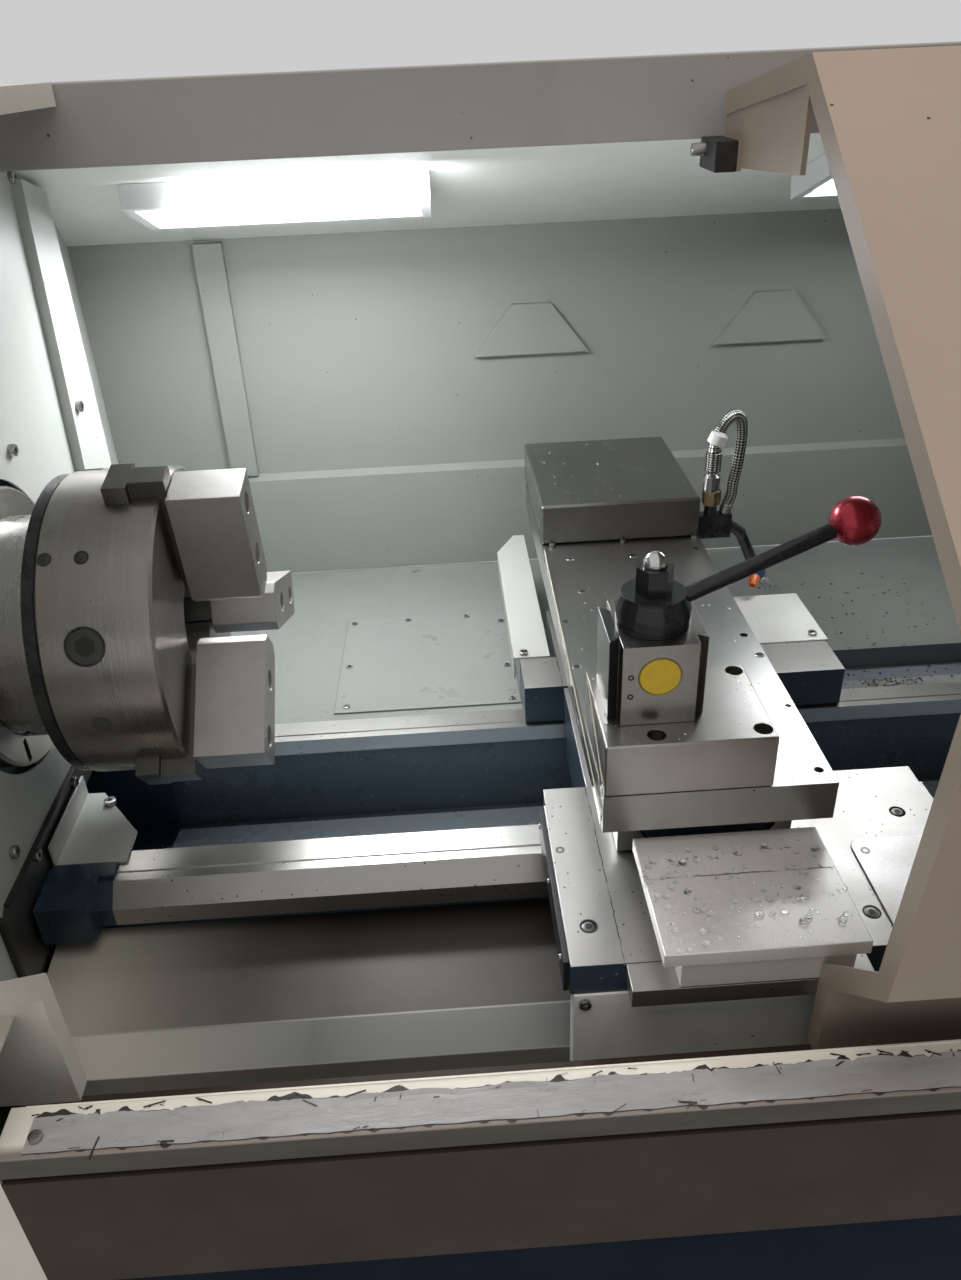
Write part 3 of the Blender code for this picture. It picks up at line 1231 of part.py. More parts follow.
def make_chuck():
    """Chuck body with its bore, three T slots and three pinion bores."""
    edge = CHUCK_CHAMFER
    profile = (
        (PLATE_FACE_X, CHUCK_BORE_RADIUS), (PLATE_FACE_X, CHUCK_RADIUS - edge),
        (PLATE_FACE_X + edge, CHUCK_RADIUS), (-edge, CHUCK_RADIUS), (0, CHUCK_RADIUS - edge),
        (0, CHUCK_BORE_RADIUS),
    )
    body = turned("chuck_body", profile, (1, 0, 0), (0, 0, 0), "ground_steel")
    for index in range(JAW_COUNT):
        turn = math.tau * index / JAW_COUNT
        slot = prism("jaw_slot_%d" % index, slot_outline(GAP), "Z", 0, CHUCK_RADIUS + OVERLAP)
        turn_mesh(slot, jaw_frame(JAW_FIRST_ANGLE + turn))
        cut(body, slot)
        depth = PINION_SUNK if index else PINION_DEPTH + GAP
        direction = radial(PINION_FIRST_ANGLE + turn)
        middle = Vector((PINION_X, 0, 0))
        cut(body, rod("pinion_bore_%d" % index, middle + direction * (CHUCK_RADIUS - depth),
                      middle + direction * (CHUCK_RADIUS + OVERLAP), PINION_RADIUS + GAP))
        if index:
            cut(body, pinion_socket(index))
    direction = radial(PINION_FIRST_ANGLE)
    inner = middle + direction * (CHUCK_RADIUS - PINION_DEPTH)
    outer = middle + direction * (CHUCK_RADIUS - PINION_SUNK)
    pinion = rod("pinion", inner, outer, PINION_RADIUS, "black", outer)
    cut(pinion, pinion_socket(0))


def pinion_socket(index):
    """Square hole for the chuck key in one of the three pinions."""
    half = PINION_SOCKET / 2
    start = CHUCK_RADIUS - PINION_SUNK - PINION_SOCKET_DEPTH
    socket = block("pinion_socket_%d" % index, (-half, -half, start), (half, half, CHUCK_RADIUS + OVERLAP))
    turn = jaw_frame(PINION_FIRST_ANGLE + math.tau * index / JAW_COUNT)
    turn_mesh(socket, Matrix.Translation((PINION_X, 0, 0)) @ turn)
    return socket


def make_jaws():
    """Master jaws in the chuck's slots and the soft top jaws bolted on them."""
    for index in range(JAW_COUNT):
        number = index + 1
        matrix = jaw_frame(JAW_FIRST_ANGLE + math.tau * index / JAW_COUNT)
        master = prism("master_jaw_%d" % number, slot_outline(0), "Z", MASTER_INNER, MASTER_OUTER, "black")
        top = block("top_jaw_%d" % number, (JAW_BACK_X, -JAW_WIDTH / 2, JAW_INNER),
                    (JAW_FRONT_X, JAW_WIDTH / 2, JAW_OUTER), "ground_steel")
        cutters = jaw_cutters(index)
        cut(top, *cutters)
        for item in (master, top, *cutters):
            turn_mesh(item, matrix)


def jaw_cutters(index):
    """Bolt holes of a top jaw and the chamfers beside its tip."""
    cutters = []
    for order, place_z in enumerate(JAW_BOLTS):
        cutters.append(rod("jaw_bolt_%d_%d" % (index, order), (JAW_FRONT_X - JAW_BOLT_DEPTH, 0, place_z),
                           (JAW_FRONT_X + OVERLAP, 0, place_z), JAW_BOLT_RADIUS, steps=TINY_ROUND))
    for order, side in enumerate((-1, 1)):
        half = JAW_WIDTH / 2
        outline = [
            (side * (half + OVERLAP), JAW_INNER - OVERLAP),
            (side * (half - JAW_TIP_CHAMFER - OVERLAP), JAW_INNER - OVERLAP),
            (side * (half + OVERLAP), JAW_INNER + JAW_TIP_CHAMFER + OVERLAP),
        ]
        cutters.append(prism("jaw_tip_%d_%d" % (index, order), outline, "X",
                             JAW_BACK_X - OVERLAP, JAW_FRONT_X + OVERLAP))
    return cutters


def make_saddle():
    """Saddle casting: wings on both ways, the bridge and its dovetail."""
    left, right = SADDLE_LEFT_X, SADDLE_RIGHT_X
    rest = WAY_Z + GAP
    wing_foot = FRONT_WING_TOP_Z - FRONT_WING_THICKNESS
    saddle = block("saddle", (left, FRONT_WING_Y[0], wing_foot),
                   (right, FRONT_WING_Y[1], FRONT_WING_TOP_Z), "teal")
    rise = BRIDGE_STEP
    shapes = [
        block("saddle_pad", (left + OVERLAP, WAY_PAD_Y[0], rest),
              (right - OVERLAP, WAY_PAD_Y[1], FRONT_WING_TOP_Z - rise)),
        block("saddle_bridge", (BRIDGE_LEFT_X, FRONT_WING_Y[0] + OVERLAP, rest),
              (BRIDGE_RIGHT_X, BRIDGE_REAR_Y, FRONT_WING_TOP_Z - rise)),
        block("saddle_nose", (BRIDGE_LEFT_X, BRIDGE_FRONT_Y, FRONT_WING_TOP_Z - BRIDGE_NOSE_THICKNESS),
              (BRIDGE_RIGHT_X, FRONT_WING_Y[0] + 2 * OVERLAP, FRONT_WING_TOP_Z - rise)),
        block("saddle_keel", (BRIDGE_LEFT_X + OVERLAP, BRIDGE_KEEL_Y[0], BRIDGE_KEEL_Z),
              (BRIDGE_RIGHT_X - OVERLAP, BRIDGE_KEEL_Y[1], rest + OVERLAP)),
        block("saddle_rear_wing", (left, REAR_WING_Y[0], rest + rise),
              (right, REAR_WING_Y[1], REAR_WING_TOP_Z)),
    ]
    cut_y = (BRIDGE_FRONT_Y - OVERLAP, FRONT_WING_Y[1] - OVERLAP)
    foot, top = FRONT_WING_TOP_Z, FRONT_WING_TOP_Z + DOVETAIL_RISE
    outline = [
        (SLIDE_MIDDLE_X - DOVETAIL_HALF_FOOT, foot - OVERLAP),
        (SLIDE_MIDDLE_X + DOVETAIL_HALF_FOOT, foot - OVERLAP),
        (SLIDE_MIDDLE_X + DOVETAIL_HALF_FOOT, foot), (SLIDE_MIDDLE_X + DOVETAIL_HALF_TOP, top),
        (SLIDE_MIDDLE_X - DOVETAIL_HALF_TOP, top), (SLIDE_MIDDLE_X - DOVETAIL_HALF_FOOT, foot),
    ]
    shapes.append(prism("saddle_dovetail", outline, "Y", DOVETAIL_FRONT_Y, BRIDGE_REAR_Y - OVERLAP))
    fuse(saddle, *shapes)
    cut(saddle, *saddle_relief(cut_y))
    margin = WING_SCREW_MARGIN
    places = [(left + margin / 2, FRONT_WING_Y[0] + margin), (right - margin, FRONT_WING_Y[0] + margin),
              (right - margin, FRONT_WING_Y[1] - margin)]
    for index, (x, y) in enumerate(places):
        cut(saddle, rod("wing_screw_%d" % index, (x, y, FRONT_WING_TOP_Z - WING_SCREW_DEPTH),
                        (x, y, FRONT_WING_TOP_Z + OVERLAP), WING_SCREW_RADIUS, steps=TINY_ROUND))


def saddle_relief(cut_y):
    """Clearance under the bridge's front, over the screw guard, and a slot for the apron."""
    wing_foot = FRONT_WING_TOP_Z - FRONT_WING_THICKNESS
    low = (BRIDGE_LEFT_X - OVERLAP, cut_y[0], WAY_Z - OVERLAP)
    high = (BRIDGE_RIGHT_X + OVERLAP, WAY_PAD_Y[0], wing_foot)
    return [block("bridge_relief", low, high)]


def make_apron():
    """Apron panel below the front wing, with the bracket and nut on the ball screw."""
    top = FRONT_WING_TOP_Z - FRONT_WING_THICKNESS - GAP
    left, right = SADDLE_LEFT_X + SHEET, SADDLE_RIGHT_X
    back = APRON_FACE_Y + APRON_THICKNESS
    apron = block("apron", (left, APRON_FACE_Y, APRON_FOOT_Z), (right, back, top), "white")
    nut_left = NUT_MIDDLE_X - NUT_LENGTH / 2
    nut_right = NUT_MIDDLE_X + NUT_LENGTH / 2
    nut_foot = SCREW_Z - NUT_HALF
    shelf = block("apron_shelf", (nut_left + OVERLAP, back - OVERLAP, APRON_FOOT_Z + OVERLAP),
                  (nut_right - OVERLAP, SCREW_Y + NUT_HALF - OVERLAP, nut_foot + OVERLAP))
    nut = block("screw_nut", (nut_left, SCREW_Y - NUT_HALF, nut_foot),
                (nut_right, SCREW_Y + NUT_HALF, SCREW_Z + NUT_HALF - OVERLAP))
    sides = []
    for index, place_x in enumerate((left, right - SHEET)):
        sides.append(block("apron_side_%d" % index, (place_x, back - OVERLAP, SCREW_Z),
                           (place_x + SHEET, APRON_FACE_Y + APRON_RETURN - SHEET * 4, top - OVERLAP)))
    fuse(apron, shelf, nut, *sides)
    cut(apron, rod("nut_bore", (nut_left - OVERLAP, SCREW_Y, SCREW_Z),
                   (nut_right + OVERLAP, SCREW_Y, SCREW_Z), SCREW_RADIUS + SCREW_CLEARANCE))


def make_saddle_covers():
    """Front plate over the bridge and the two folded covers behind the rear wings."""
    left, right = FRONT_PLATE_X
    front, rear = FRONT_PLATE_Y
    plate = block("front_plate", (left, front, FRONT_PLATE_TOP_Z - FRONT_PLATE_THICKNESS),
                  (right, rear, FRONT_PLATE_TOP_Z), "ground_steel")
    rib_left, rib_right = FRONT_PLATE_RIB_X
    fuse(plate, block("front_plate_rib",
                      (rib_left, BRIDGE_FRONT_Y, FRONT_WING_TOP_Z + GAP),
                      (rib_right, rear - OVERLAP, FRONT_PLATE_TOP_Z - OVERLAP)))
    top = SIDE_COVER_TOP_Z
    foot = top - SIDE_COVER_FLANGE
    left, right = LEFT_COVER_X
    front, rear = LEFT_COVER_Y
    chamfer = LEFT_COVER_CHAMFER
    outline = [(left, front), (right, front), (right, rear), (left + chamfer, rear),
               (left, rear - 2 * chamfer)]
    item = prism("saddle_cover_left", outline, "Z", top - THIN_SHEET, top, "white")
    fuse(item, block("saddle_cover_left_side", (left, front, foot),
                     (left + THIN_SHEET, rear - 2 * chamfer, top - THIN_SHEET / 2)))
    left, right = RIGHT_COVER_X
    front, rear = RIGHT_COVER_Y
    item = block("saddle_cover_right", (left, front, top - THIN_SHEET), (right, rear, top), "white")
    fuse(item, block("saddle_cover_right_side", (right - THIN_SHEET, front, foot),
                     (right, rear, top - THIN_SHEET / 2)))


def make_cross_slide():
    """Cross slide: table, guide with its dovetail slot, and holes along the edges."""
    table_foot = SLIDE_TOP_Z - SLIDE_TABLE
    slide = block("cross_slide", (SLIDE_LEFT_X, SLIDE_FRONT_Y, table_foot),
                  (SLIDE_RIGHT_X, SLIDE_REAR_Y, SLIDE_TOP_Z), "ground_steel")
    low_x, high_x = SLIDE_LEFT_X + GUIDE_MARGIN, SLIDE_RIGHT_X - GUIDE_MARGIN
    foot = REAR_WING_TOP_Z + GAP
    slot_top = FRONT_WING_TOP_Z + DOVETAIL_RISE + GAP
    flare = (DOVETAIL_HALF_TOP - DOVETAIL_HALF_FOOT) / DOVETAIL_RISE
    half_foot = DOVETAIL_HALF_FOOT + 2 * GAP + (foot - FRONT_WING_TOP_Z) * flare
    half_top = DOVETAIL_HALF_TOP + 3 * GAP
    outline = [
        (low_x, foot), (SLIDE_MIDDLE_X - half_foot, foot), (SLIDE_MIDDLE_X - half_top, slot_top),
        (SLIDE_MIDDLE_X + half_top, slot_top), (SLIDE_MIDDLE_X + half_foot, foot), (high_x, foot),
        (high_x, table_foot + OVERLAP), (low_x, table_foot + OVERLAP),
    ]
    fuse(slide, prism("slide_guide", outline, "Y", GUIDE_FRONT_Y, SLIDE_REAR_Y - OVERLAP))
    for index, place_y in enumerate(SLIDE_HOLES_Y):
        x = SLIDE_RIGHT_X - SLIDE_HOLE_MARGIN
        cut(slide, rod("slide_hole_%d" % index, (x, place_y, SLIDE_TOP_Z - SLIDE_HOLE_DEPTH),
                       (x, place_y, SLIDE_TOP_Z + OVERLAP), SLIDE_HOLE_RADIUS, steps=TINY_ROUND))


def make_riser():
    """Ground block under the tool post with its bolt holes."""
    riser = block("riser_block", (RISER_X[0], RISER_Y[0], SLIDE_TOP_Z + GAP),
                  (RISER_X[1], RISER_Y[1], RISER_TOP_Z), "ground_steel", bevel=RISER_BEVEL)
    for index, (x, y) in enumerate(RISER_HOLES):
        cut(riser, rod("riser_hole_%d" % index, (x, y, RISER_TOP_Z - RISER_HOLE_DEPTH),
                       (x, y, RISER_TOP_Z + OVERLAP), RISER_HOLE_RADIUS, steps=SMALL_ROUND))


def make_slide_box():
    """Folded stainless box on the back of the cross slide."""
    foot = SLIDE_TOP_Z + GAP
    box = block("slide_box", (SLIDE_LEFT_X, BOX_Y[0], foot), (SLIDE_RIGHT_X, BOX_Y[1], BOX_TOP_Z),
                "stainless", bevel=BOX_BEVEL)
    cut(box, block("slide_box_hollow",
                   (SLIDE_LEFT_X + THIN_SHEET, BOX_Y[0] + THIN_SHEET, foot - OVERLAP),
                   (SLIDE_RIGHT_X - THIN_SHEET, BOX_Y[1] - THIN_SHEET, BOX_TOP_Z - THIN_SHEET)))


def make_tool_post():
    """Tool post body with a dovetail on each side, its stud, cam nut, handle and knob."""
    core, outer, root, tip = POST_CORE_HALF, POST_HALF, DOVETAIL_ROOT, DOVETAIL_TIP
    right = [(core, -outer), (core, -root), (outer, -tip), (outer, tip), (core, root), (core, outer)]
    left = [(-x, -y) for x, y in right]
    outline = [(POST_X + x, POST_Y + y) for x, y in right + left]
    foot = RISER_TOP_Z + GAP
    post = prism("tool_post", outline, "Z", foot, POST_TOP_Z, "ground_steel")
    cut(post, rod("post_bore", (POST_X, POST_Y, foot - OVERLAP), (POST_X, POST_Y, POST_TOP_Z + OVERLAP),
                  POST_BORE_RADIUS))
    cut(post, rod("post_badge_seat", (POST_X, POST_Y - outer - OVERLAP, BADGE_Z),
                  (POST_X, POST_Y - outer + BADGE_DEPTH, BADGE_Z), BADGE_RADIUS))
    make_post_stud(foot)
    make_cam_nut()


def make_post_stud(foot):
    """Centre stud with its hexagon head and the steel ball on top."""
    origin = (POST_X, POST_Y, 0)
    stud = rod("post_stud", (POST_X, POST_Y, foot), (POST_X, POST_Y, HEX_TOP_Z - OVERLAP),
               STUD_RADIUS, "black", origin)
    corner = HEX_FLATS / math.sqrt(3)
    hexagon = circle(corner, 6, (POST_X, POST_Y))
    ball_z = HEX_TOP_Z + BALL_RISE
    fuse(stud, prism("post_hexagon", hexagon, "Z", HEX_FOOT_Z, HEX_TOP_Z),
         ball("post_ball", (POST_X, POST_Y, ball_z), BALL_RADIUS))


def make_cam_nut():
    """Round cam nut with its handle and knob, which turn about the post."""
    origin = Vector((POST_X, POST_Y, 0))
    bore = STUD_RADIUS + GAP
    foot = POST_TOP_Z + GAP
    profile = (
        (foot, bore), (foot, CAM_RADIUS), (CAM_SHOULDER_Z, CAM_RADIUS),
        (CAM_TOP_Z - CAM_GROOVE, CAM_NECK_RADIUS), (CAM_TOP_Z, CAM_NECK_RADIUS), (CAM_TOP_Z, bore),
    )
    nut = turned("cam_nut", profile, (0, 0, 1), origin, "black", origin)
    knob_middle = Vector((KNOB_X, KNOB_Y, KNOB_Z))
    axis_point = Vector((POST_X, POST_Y, POST_TOP_Z + HANDLE_ROOT_RISE))
    direction = (knob_middle - axis_point).normalized()
    root = axis_point + (knob_middle - axis_point) * HANDLE_ROOT_SHARE
    tip = knob_middle - direction * (KNOB_RADIUS - KNOB_SOCKET)
    cut(nut, rod("handle_bore", root - direction * GAP, tip, HANDLE_RADIUS + GAP))
    rod("handle_bar", root, tip, HANDLE_RADIUS, "black", origin)
    knob = ball("handle_knob", knob_middle, KNOB_RADIUS, "red", origin)
    cut(knob, rod("knob_socket", root, tip + direction * GAP, HANDLE_RADIUS + GAP))


def make_hose():
    """Hose bracket with its fitting and spout on the box's side, and the hose's loop."""
    left = SLIDE_RIGHT_X + GAP
    foot = BRACKET_TOP_Z - BRACKET_HEIGHT
    front, rear = FITTING_Y - BRACKET_THICKNESS / 2, FITTING_Y + BRACKET_THICKNESS / 2
    bracket = block("hose_bracket", (left, front, foot), (BRACKET_RIGHT_X, rear, BRACKET_TOP_Z), "black")
    fitting_top = BRACKET_TOP_Z + FITTING_LENGTH
    fitting = rod("hose_fitting", (FITTING_X, FITTING_Y, BRACKET_TOP_Z - OVERLAP),
                  (FITTING_X, FITTING_Y, fitting_top), FITTING_RADIUS, steps=TINY_ROUND)
    spout_points = [(BRACKET_RIGHT_X + x, FITTING_Y, BRACKET_TOP_Z - BRACKET_HEIGHT / 2 + z)
                    for x, z in SPOUT_PATH]
    spout_points[0] = (BRACKET_RIGHT_X - OVERLAP * 2, FITTING_Y, foot + BRACKET_HEIGHT / 2)
    spout = tube("spout", spout_points, SPOUT_RADIUS)
    fuse(bracket, fitting, spout, ball("spout_ball", spout_points[-1], SPOUT_BALL_RADIUS))
    start = [(FITTING_X, FITTING_Y, fitting_top + rise) for rise in (GAP, HOSE_LEAD)]
    end = [(HOSE_END_X, FITTING_Y, BRACKET_TOP_Z + rise) for rise in (HOSE_LEAD, GAP)]
    tube("coolant_hose", (*start, *HOSE_PATH, *end), HOSE_RADIUS, "stainless")


def make_tailstock():
    """Tailstock casting with its barrel, quill, centre and handwheel."""
    left, right = TAIL_X
    front, rear = TAIL_BASE_Y
    rest = WAY_Z + GAP
    waist = TAIL_WAIST_HALF
    outline = [
        (front, rest), (rear, rest), (rear, rest + TAIL_BASE_HEIGHT), (waist, TAIL_WAIST_Z),
        (waist, 0), (-waist, 0), (-waist, TAIL_WAIST_Z), (front, rest + TAIL_BASE_HEIGHT),
    ]
    body = prism("tailstock", outline, "X", left + OVERLAP, right - OVERLAP, "teal")
    fuse(body, rod("tail_barrel", (left, 0, 0), (right, 0, 0), TAIL_BARREL_RADIUS, steps=ROUND))
    cut(body, rod("quill_bore", (left - OVERLAP, 0, 0), (QUILL_BORE_END_X, 0, 0),
                  QUILL_RADIUS + GAP, steps=ROUND),
        rod("wheel_bore", (QUILL_BORE_END_X - OVERLAP, 0, 0), (right + OVERLAP, 0, 0),
            WHEEL_SHAFT_RADIUS + GAP))
    nose = QUILL_NOSE_X
    profile = (
        (nose - CENTRE_LENGTH, 0), (nose - CENTRE_LENGTH * CENTRE_BODY_SHARE, CENTRE_RADIUS),
        (nose, CENTRE_RADIUS), (nose, QUILL_RADIUS), (QUILL_END_X, QUILL_RADIUS), (QUILL_END_X, 0),
    )
    turned("quill", profile, (1, 0, 0), (0, 0, 0), "ground_steel")
    make_tail_wheel()


def make_tail_wheel():
    """Handwheel of the quill: rim, spokes, hub, shaft and crank grip."""
    origin = (WHEEL_X, 0, 0)
    hub = ((QUILL_BORE_END_X, 0), (QUILL_BORE_END_X, WHEEL_SHAFT_RADIUS),
           (TAIL_X[1] + GAP, WHEEL_SHAFT_RADIUS), (TAIL_X[1] + GAP, WHEEL_HUB_RADIUS),
           (WHEEL_X + WHEEL_HUB_LENGTH, WHEEL_HUB_RADIUS), (WHEEL_X + WHEEL_HUB_LENGTH, 0))
    wheel = turned("tail_wheel", hub, (1, 0, 0), (0, 0, 0), "chrome", origin, SMALL_ROUND)
    rim_x = WHEEL_X + WHEEL_HUB_LENGTH / 2
    section = circle(WHEEL_RIM, 8, (rim_x, WHEEL_RADIUS - WHEEL_RIM))
    fuse(wheel, turned("wheel_rim", section, (1, 0, 0), (0, 0, 0), steps=SMALL_ROUND))
    for index in range(WHEEL_SPOKES):
        direction = radial(math.tau * (index + 1 / 4) / WHEEL_SPOKES)
        fuse(wheel, rod("wheel_spoke_%d" % index,
                        Vector((rim_x, 0, 0)) + direction * WHEEL_SHAFT_RADIUS,
                        Vector((rim_x, 0, 0)) + direction * (WHEEL_RADIUS - WHEEL_RIM),
                        SPOKE_RADIUS, steps=TINY_ROUND))
    grip = Vector((rim_x, 0, 0)) + radial(0) * (WHEEL_RADIUS - WHEEL_RIM)
    fuse(wheel, rod("wheel_grip", grip, grip + Vector((CRANK_LENGTH, 0, 0)), CRANK_RADIUS,
                    steps=TINY_ROUND))


def make_door():
    """Sliding door: bent skin, edge flanges, gusset, runner, window and handle."""
    left, right = DOOR_LEFT, DOOR_LEFT + DOOR_WIDTH
    door = folded("door", GUARD_PROFILE, left, right, -SHEET, "cream")
    flange = band(GUARD_PROFILE, -DOOR_FLANGE)
    for index, start in enumerate((left, right - SHEET)):
        fuse(door, prism("door_flange_%d" % index, flange, "X", start, start + SHEET))
    gusset = [
        (GUSSET_FRONT_Y, GUSSET_FRONT_Z), (GUSSET_REAR_Y, GUSSET_REAR_Z),
        (GUSSET_REAR_Y, RETURN_Z - OVERLAP), (GUSSET_FRONT_Y, BROW_Z - 2 * OVERLAP),
    ]
    fuse(door, prism("door_gusset", gusset, "X", left + SHEET / 2, left + SHEET * 2))
    runner = block("door_runner",
                   (left - RUNNER_DEPTH, GUSSET_REAR_Y - RUNNER_LENGTH, GUSSET_FRONT_Z - RUNNER_HEIGHT / 2),
                   (left + SHEET, GUSSET_REAR_Y - OVERLAP, GUSSET_FRONT_Z + RUNNER_HEIGHT / 2))
    fuse(door, runner)
    low = (left + WINDOW_SIDE, BELLY_Y - SHEET, WINDOW_FOOT_Z)
    high = (right - WINDOW_SIDE, BELLY_Y + 3 * DOOR_FLANGE, WINDOW_TOP_Z)
    cut(door, block("window_opening", low, high))
    inner = offset_path(GUARD_PROFILE, -SHEET - GAP)
    run = (Vector(inner[3]) - Vector(inner[2])).normalized()
    margin = DOOR_FLANGE
    foot = Vector(inner[2]) + run * (WINDOW_FOOT_Z - margin - inner[2][1]) / run.y
    top = Vector(inner[2]) + run * (WINDOW_TOP_Z + margin - inner[2][1]) / run.y
    folded("door_window", (tuple(foot), tuple(top)), low[0] - margin, high[0] + margin, -GLASS, "glass")
    fuse(door, door_handle(left))


def face_y(place_z):
    """Front of the door's skin at a height, between the knee and the belly."""
    share = (place_z - KNEE_Z) / (BELLY_Z - KNEE_Z)
    return KNEE_Y + (BELLY_Y - KNEE_Y) * share


def door_handle(left):
    """Bow handle on the door's front, near its leading edge."""
    x = left + GRIP_X
    foot, top = GRIP_FOOT_Z, GRIP_FOOT_Z + GRIP_LENGTH
    stand_y = BELLY_Y - GRIP_STAND
    points = [
        (x, face_y(foot) + SHEET / 2, foot), (x, stand_y + GRIP_RADIUS, foot),
        (x, stand_y, foot + GRIP_RADIUS), (x, stand_y, top - GRIP_RADIUS),
        (x, stand_y + GRIP_RADIUS, top), (x, face_y(top) + SHEET / 2, top),
    ]
    return tube("door_handle", points, GRIP_RADIUS)


def cover_face_y(place_z):
    """Front of the left cover at a height, between its knee and the belly."""
    share = (place_z - COVER_KNEE_Z) / (BELLY_Z - COVER_KNEE_Z)
    return KNEE_Y + (BELLY_Y - KNEE_Y) * share


def make_console():
    """Console on the left cover with its screen field, keys, stop button and jog wheel."""
    left, right = CONSOLE_X
    foot, top = CONSOLE_Z
    outline = [
        (CONSOLE_FRONT_Y, foot), (cover_face_y(foot) - 2 * GAP, foot),
        (cover_face_y(top) - 2 * GAP, top), (CONSOLE_FRONT_Y, top),
    ]
    console = prism("console", outline, "X", left, right, "light_grey")
    cut(console, block("screen_field", (SCREEN_X[0], CONSOLE_FRONT_Y - OVERLAP, foot + SCREEN_MARGIN),
                       (SCREEN_X[1], CONSOLE_FRONT_Y + SCREEN_DEPTH, top - SCREEN_MARGIN)))
    for row in range(KEY_ROWS):
        for column in range(KEY_COLUMNS):
            x = KEY_LEFT_X + KEY_PITCH * column
            z = foot + SCREEN_MARGIN + KEY_PITCH * row
            fuse(console, block("key_%d_%d" % (row, column), (x, CONSOLE_FRONT_Y - KEY_RISE, z),
                                (x + KEY_SIZE, CONSOLE_FRONT_Y + OVERLAP, z + KEY_SIZE)))
    out = Vector((0, -1, 0))
    bottom = Vector((ESTOP_X, CONSOLE_FRONT_Y + ESTOP_SOCKET, ESTOP_Z))
    cut(console, rod("stop_socket", bottom, bottom + out * (ESTOP_SOCKET + OVERLAP),
                     ESTOP_STEM_RADIUS + GAP))
    stem = ESTOP_SOCKET - ESTOP_TRAVEL
    head = stem + ESTOP_TRAVEL + ESTOP_HEAD
    profile = ((0, 0), (0, ESTOP_STEM_RADIUS), (stem + ESTOP_TRAVEL, ESTOP_STEM_RADIUS),
               (stem + ESTOP_TRAVEL, ESTOP_HEAD_RADIUS), (head - ESTOP_TRAVEL, ESTOP_HEAD_RADIUS),
               (head, ESTOP_STEM_RADIUS), (head, 0))
    bottom = bottom + out * (ESTOP_TRAVEL + GAP)
    turned("stop_button", profile, out, bottom, "red", bottom, SMALL_ROUND)


def make_cabinet():
    """Electrical cabinet behind the headstock and its hinged door."""
    left, right = CABINET_LEFT_X, CABINET_RIGHT_X
    foot, top = CABINET_FOOT_Z, CABINET_TOP_Z
    front = COVER_REAR_Y + GAP
    rear = REAR_REACH - CABINET_DOOR - GAP
    cabinet = block("cabinet", (left, front, foot), (right, rear, top), "light_grey")
    wall = CABINET_WALL
    cut(cabinet, block("cabinet_hollow", (left + wall, front + wall, foot + wall),
                       (right - wall, rear + OVERLAP, top - wall)))
    hinge = (left, REAR_REACH, foot)
    door = block("cabinet_door", (left, rear + GAP, foot), (right, REAR_REACH, top), "light_grey", hinge)
    latch = (right - CABINET_DOOR * 2, REAR_REACH, (foot + top) / 2)
    cut(door, rod("latch_seat", (latch[0], latch[1] - LATCH_DEPTH, latch[2]),
                  (latch[0], latch[1] + OVERLAP, latch[2]), LATCH_RADIUS))


def main():
    """Make every piece of the lathe."""
    make_bed()
    make_ball_screw()
    make_screw_guard()
    make_pedestal("left_pedestal", LEFT_PEDESTAL_LEFT_X, LEFT_PEDESTAL_RIGHT_X)
    make_pedestal("right_pedestal", RIGHT_PEDESTAL_LEFT_X, RIGHT_PEDESTAL_RIGHT_X)
    make_front()
    make_chip_tray()
    make_tank()
    make_left_cover()
    make_inner_wall()
    make_end_plates()
    make_roof()
    make_rear_wall()
    make_rear_floor()
    make_lamps()
    make_right_cover()
    make_headstock()
    make_spindle()
    make_chuck()
    make_jaws()
    make_saddle()
    make_apron()
    make_saddle_covers()
    make_cross_slide()
    make_riser()
    make_slide_box()
    make_tool_post()
    make_hose()
    make_tailstock()
    make_door()
    make_console()
    make_cabinet()
    bpy.context.view_layer.update()


main()
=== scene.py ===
"""Looks of the turning lathe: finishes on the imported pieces, and the small parts round them."""
import math
import random

import bmesh
import bpy
from mathutils import Matrix, Vector
from mathutils import noise as noise_field


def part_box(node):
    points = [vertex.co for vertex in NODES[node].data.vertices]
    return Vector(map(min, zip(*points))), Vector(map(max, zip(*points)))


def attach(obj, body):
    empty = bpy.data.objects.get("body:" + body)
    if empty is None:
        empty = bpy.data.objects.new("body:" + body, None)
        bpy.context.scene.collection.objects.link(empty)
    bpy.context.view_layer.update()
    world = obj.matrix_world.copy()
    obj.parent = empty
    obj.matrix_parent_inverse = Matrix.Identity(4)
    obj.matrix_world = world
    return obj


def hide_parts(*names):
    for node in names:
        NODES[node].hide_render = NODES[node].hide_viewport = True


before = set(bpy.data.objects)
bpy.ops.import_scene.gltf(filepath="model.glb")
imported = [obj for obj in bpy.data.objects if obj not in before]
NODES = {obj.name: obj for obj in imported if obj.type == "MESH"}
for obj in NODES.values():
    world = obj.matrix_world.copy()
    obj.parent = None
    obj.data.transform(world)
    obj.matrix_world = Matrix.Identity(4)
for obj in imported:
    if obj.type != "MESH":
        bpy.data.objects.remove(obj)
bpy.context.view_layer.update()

# The spindle axis at the chuck's face. Places below are measured from it, in metres.
DATUM = Vector((-0.415, -0.178, 1.180))
UP, DOWN = Vector((0, 0, 1)), Vector((0, 0, -1))
LEFT, RIGHT = Vector((-1, 0, 0)), Vector((1, 0, 0))
FORWARD, BACK = Vector((0, -1, 0)), Vector((0, 1, 0))
HALF = 0.5
HAIR = 0.0002
MERGE = 0.00002

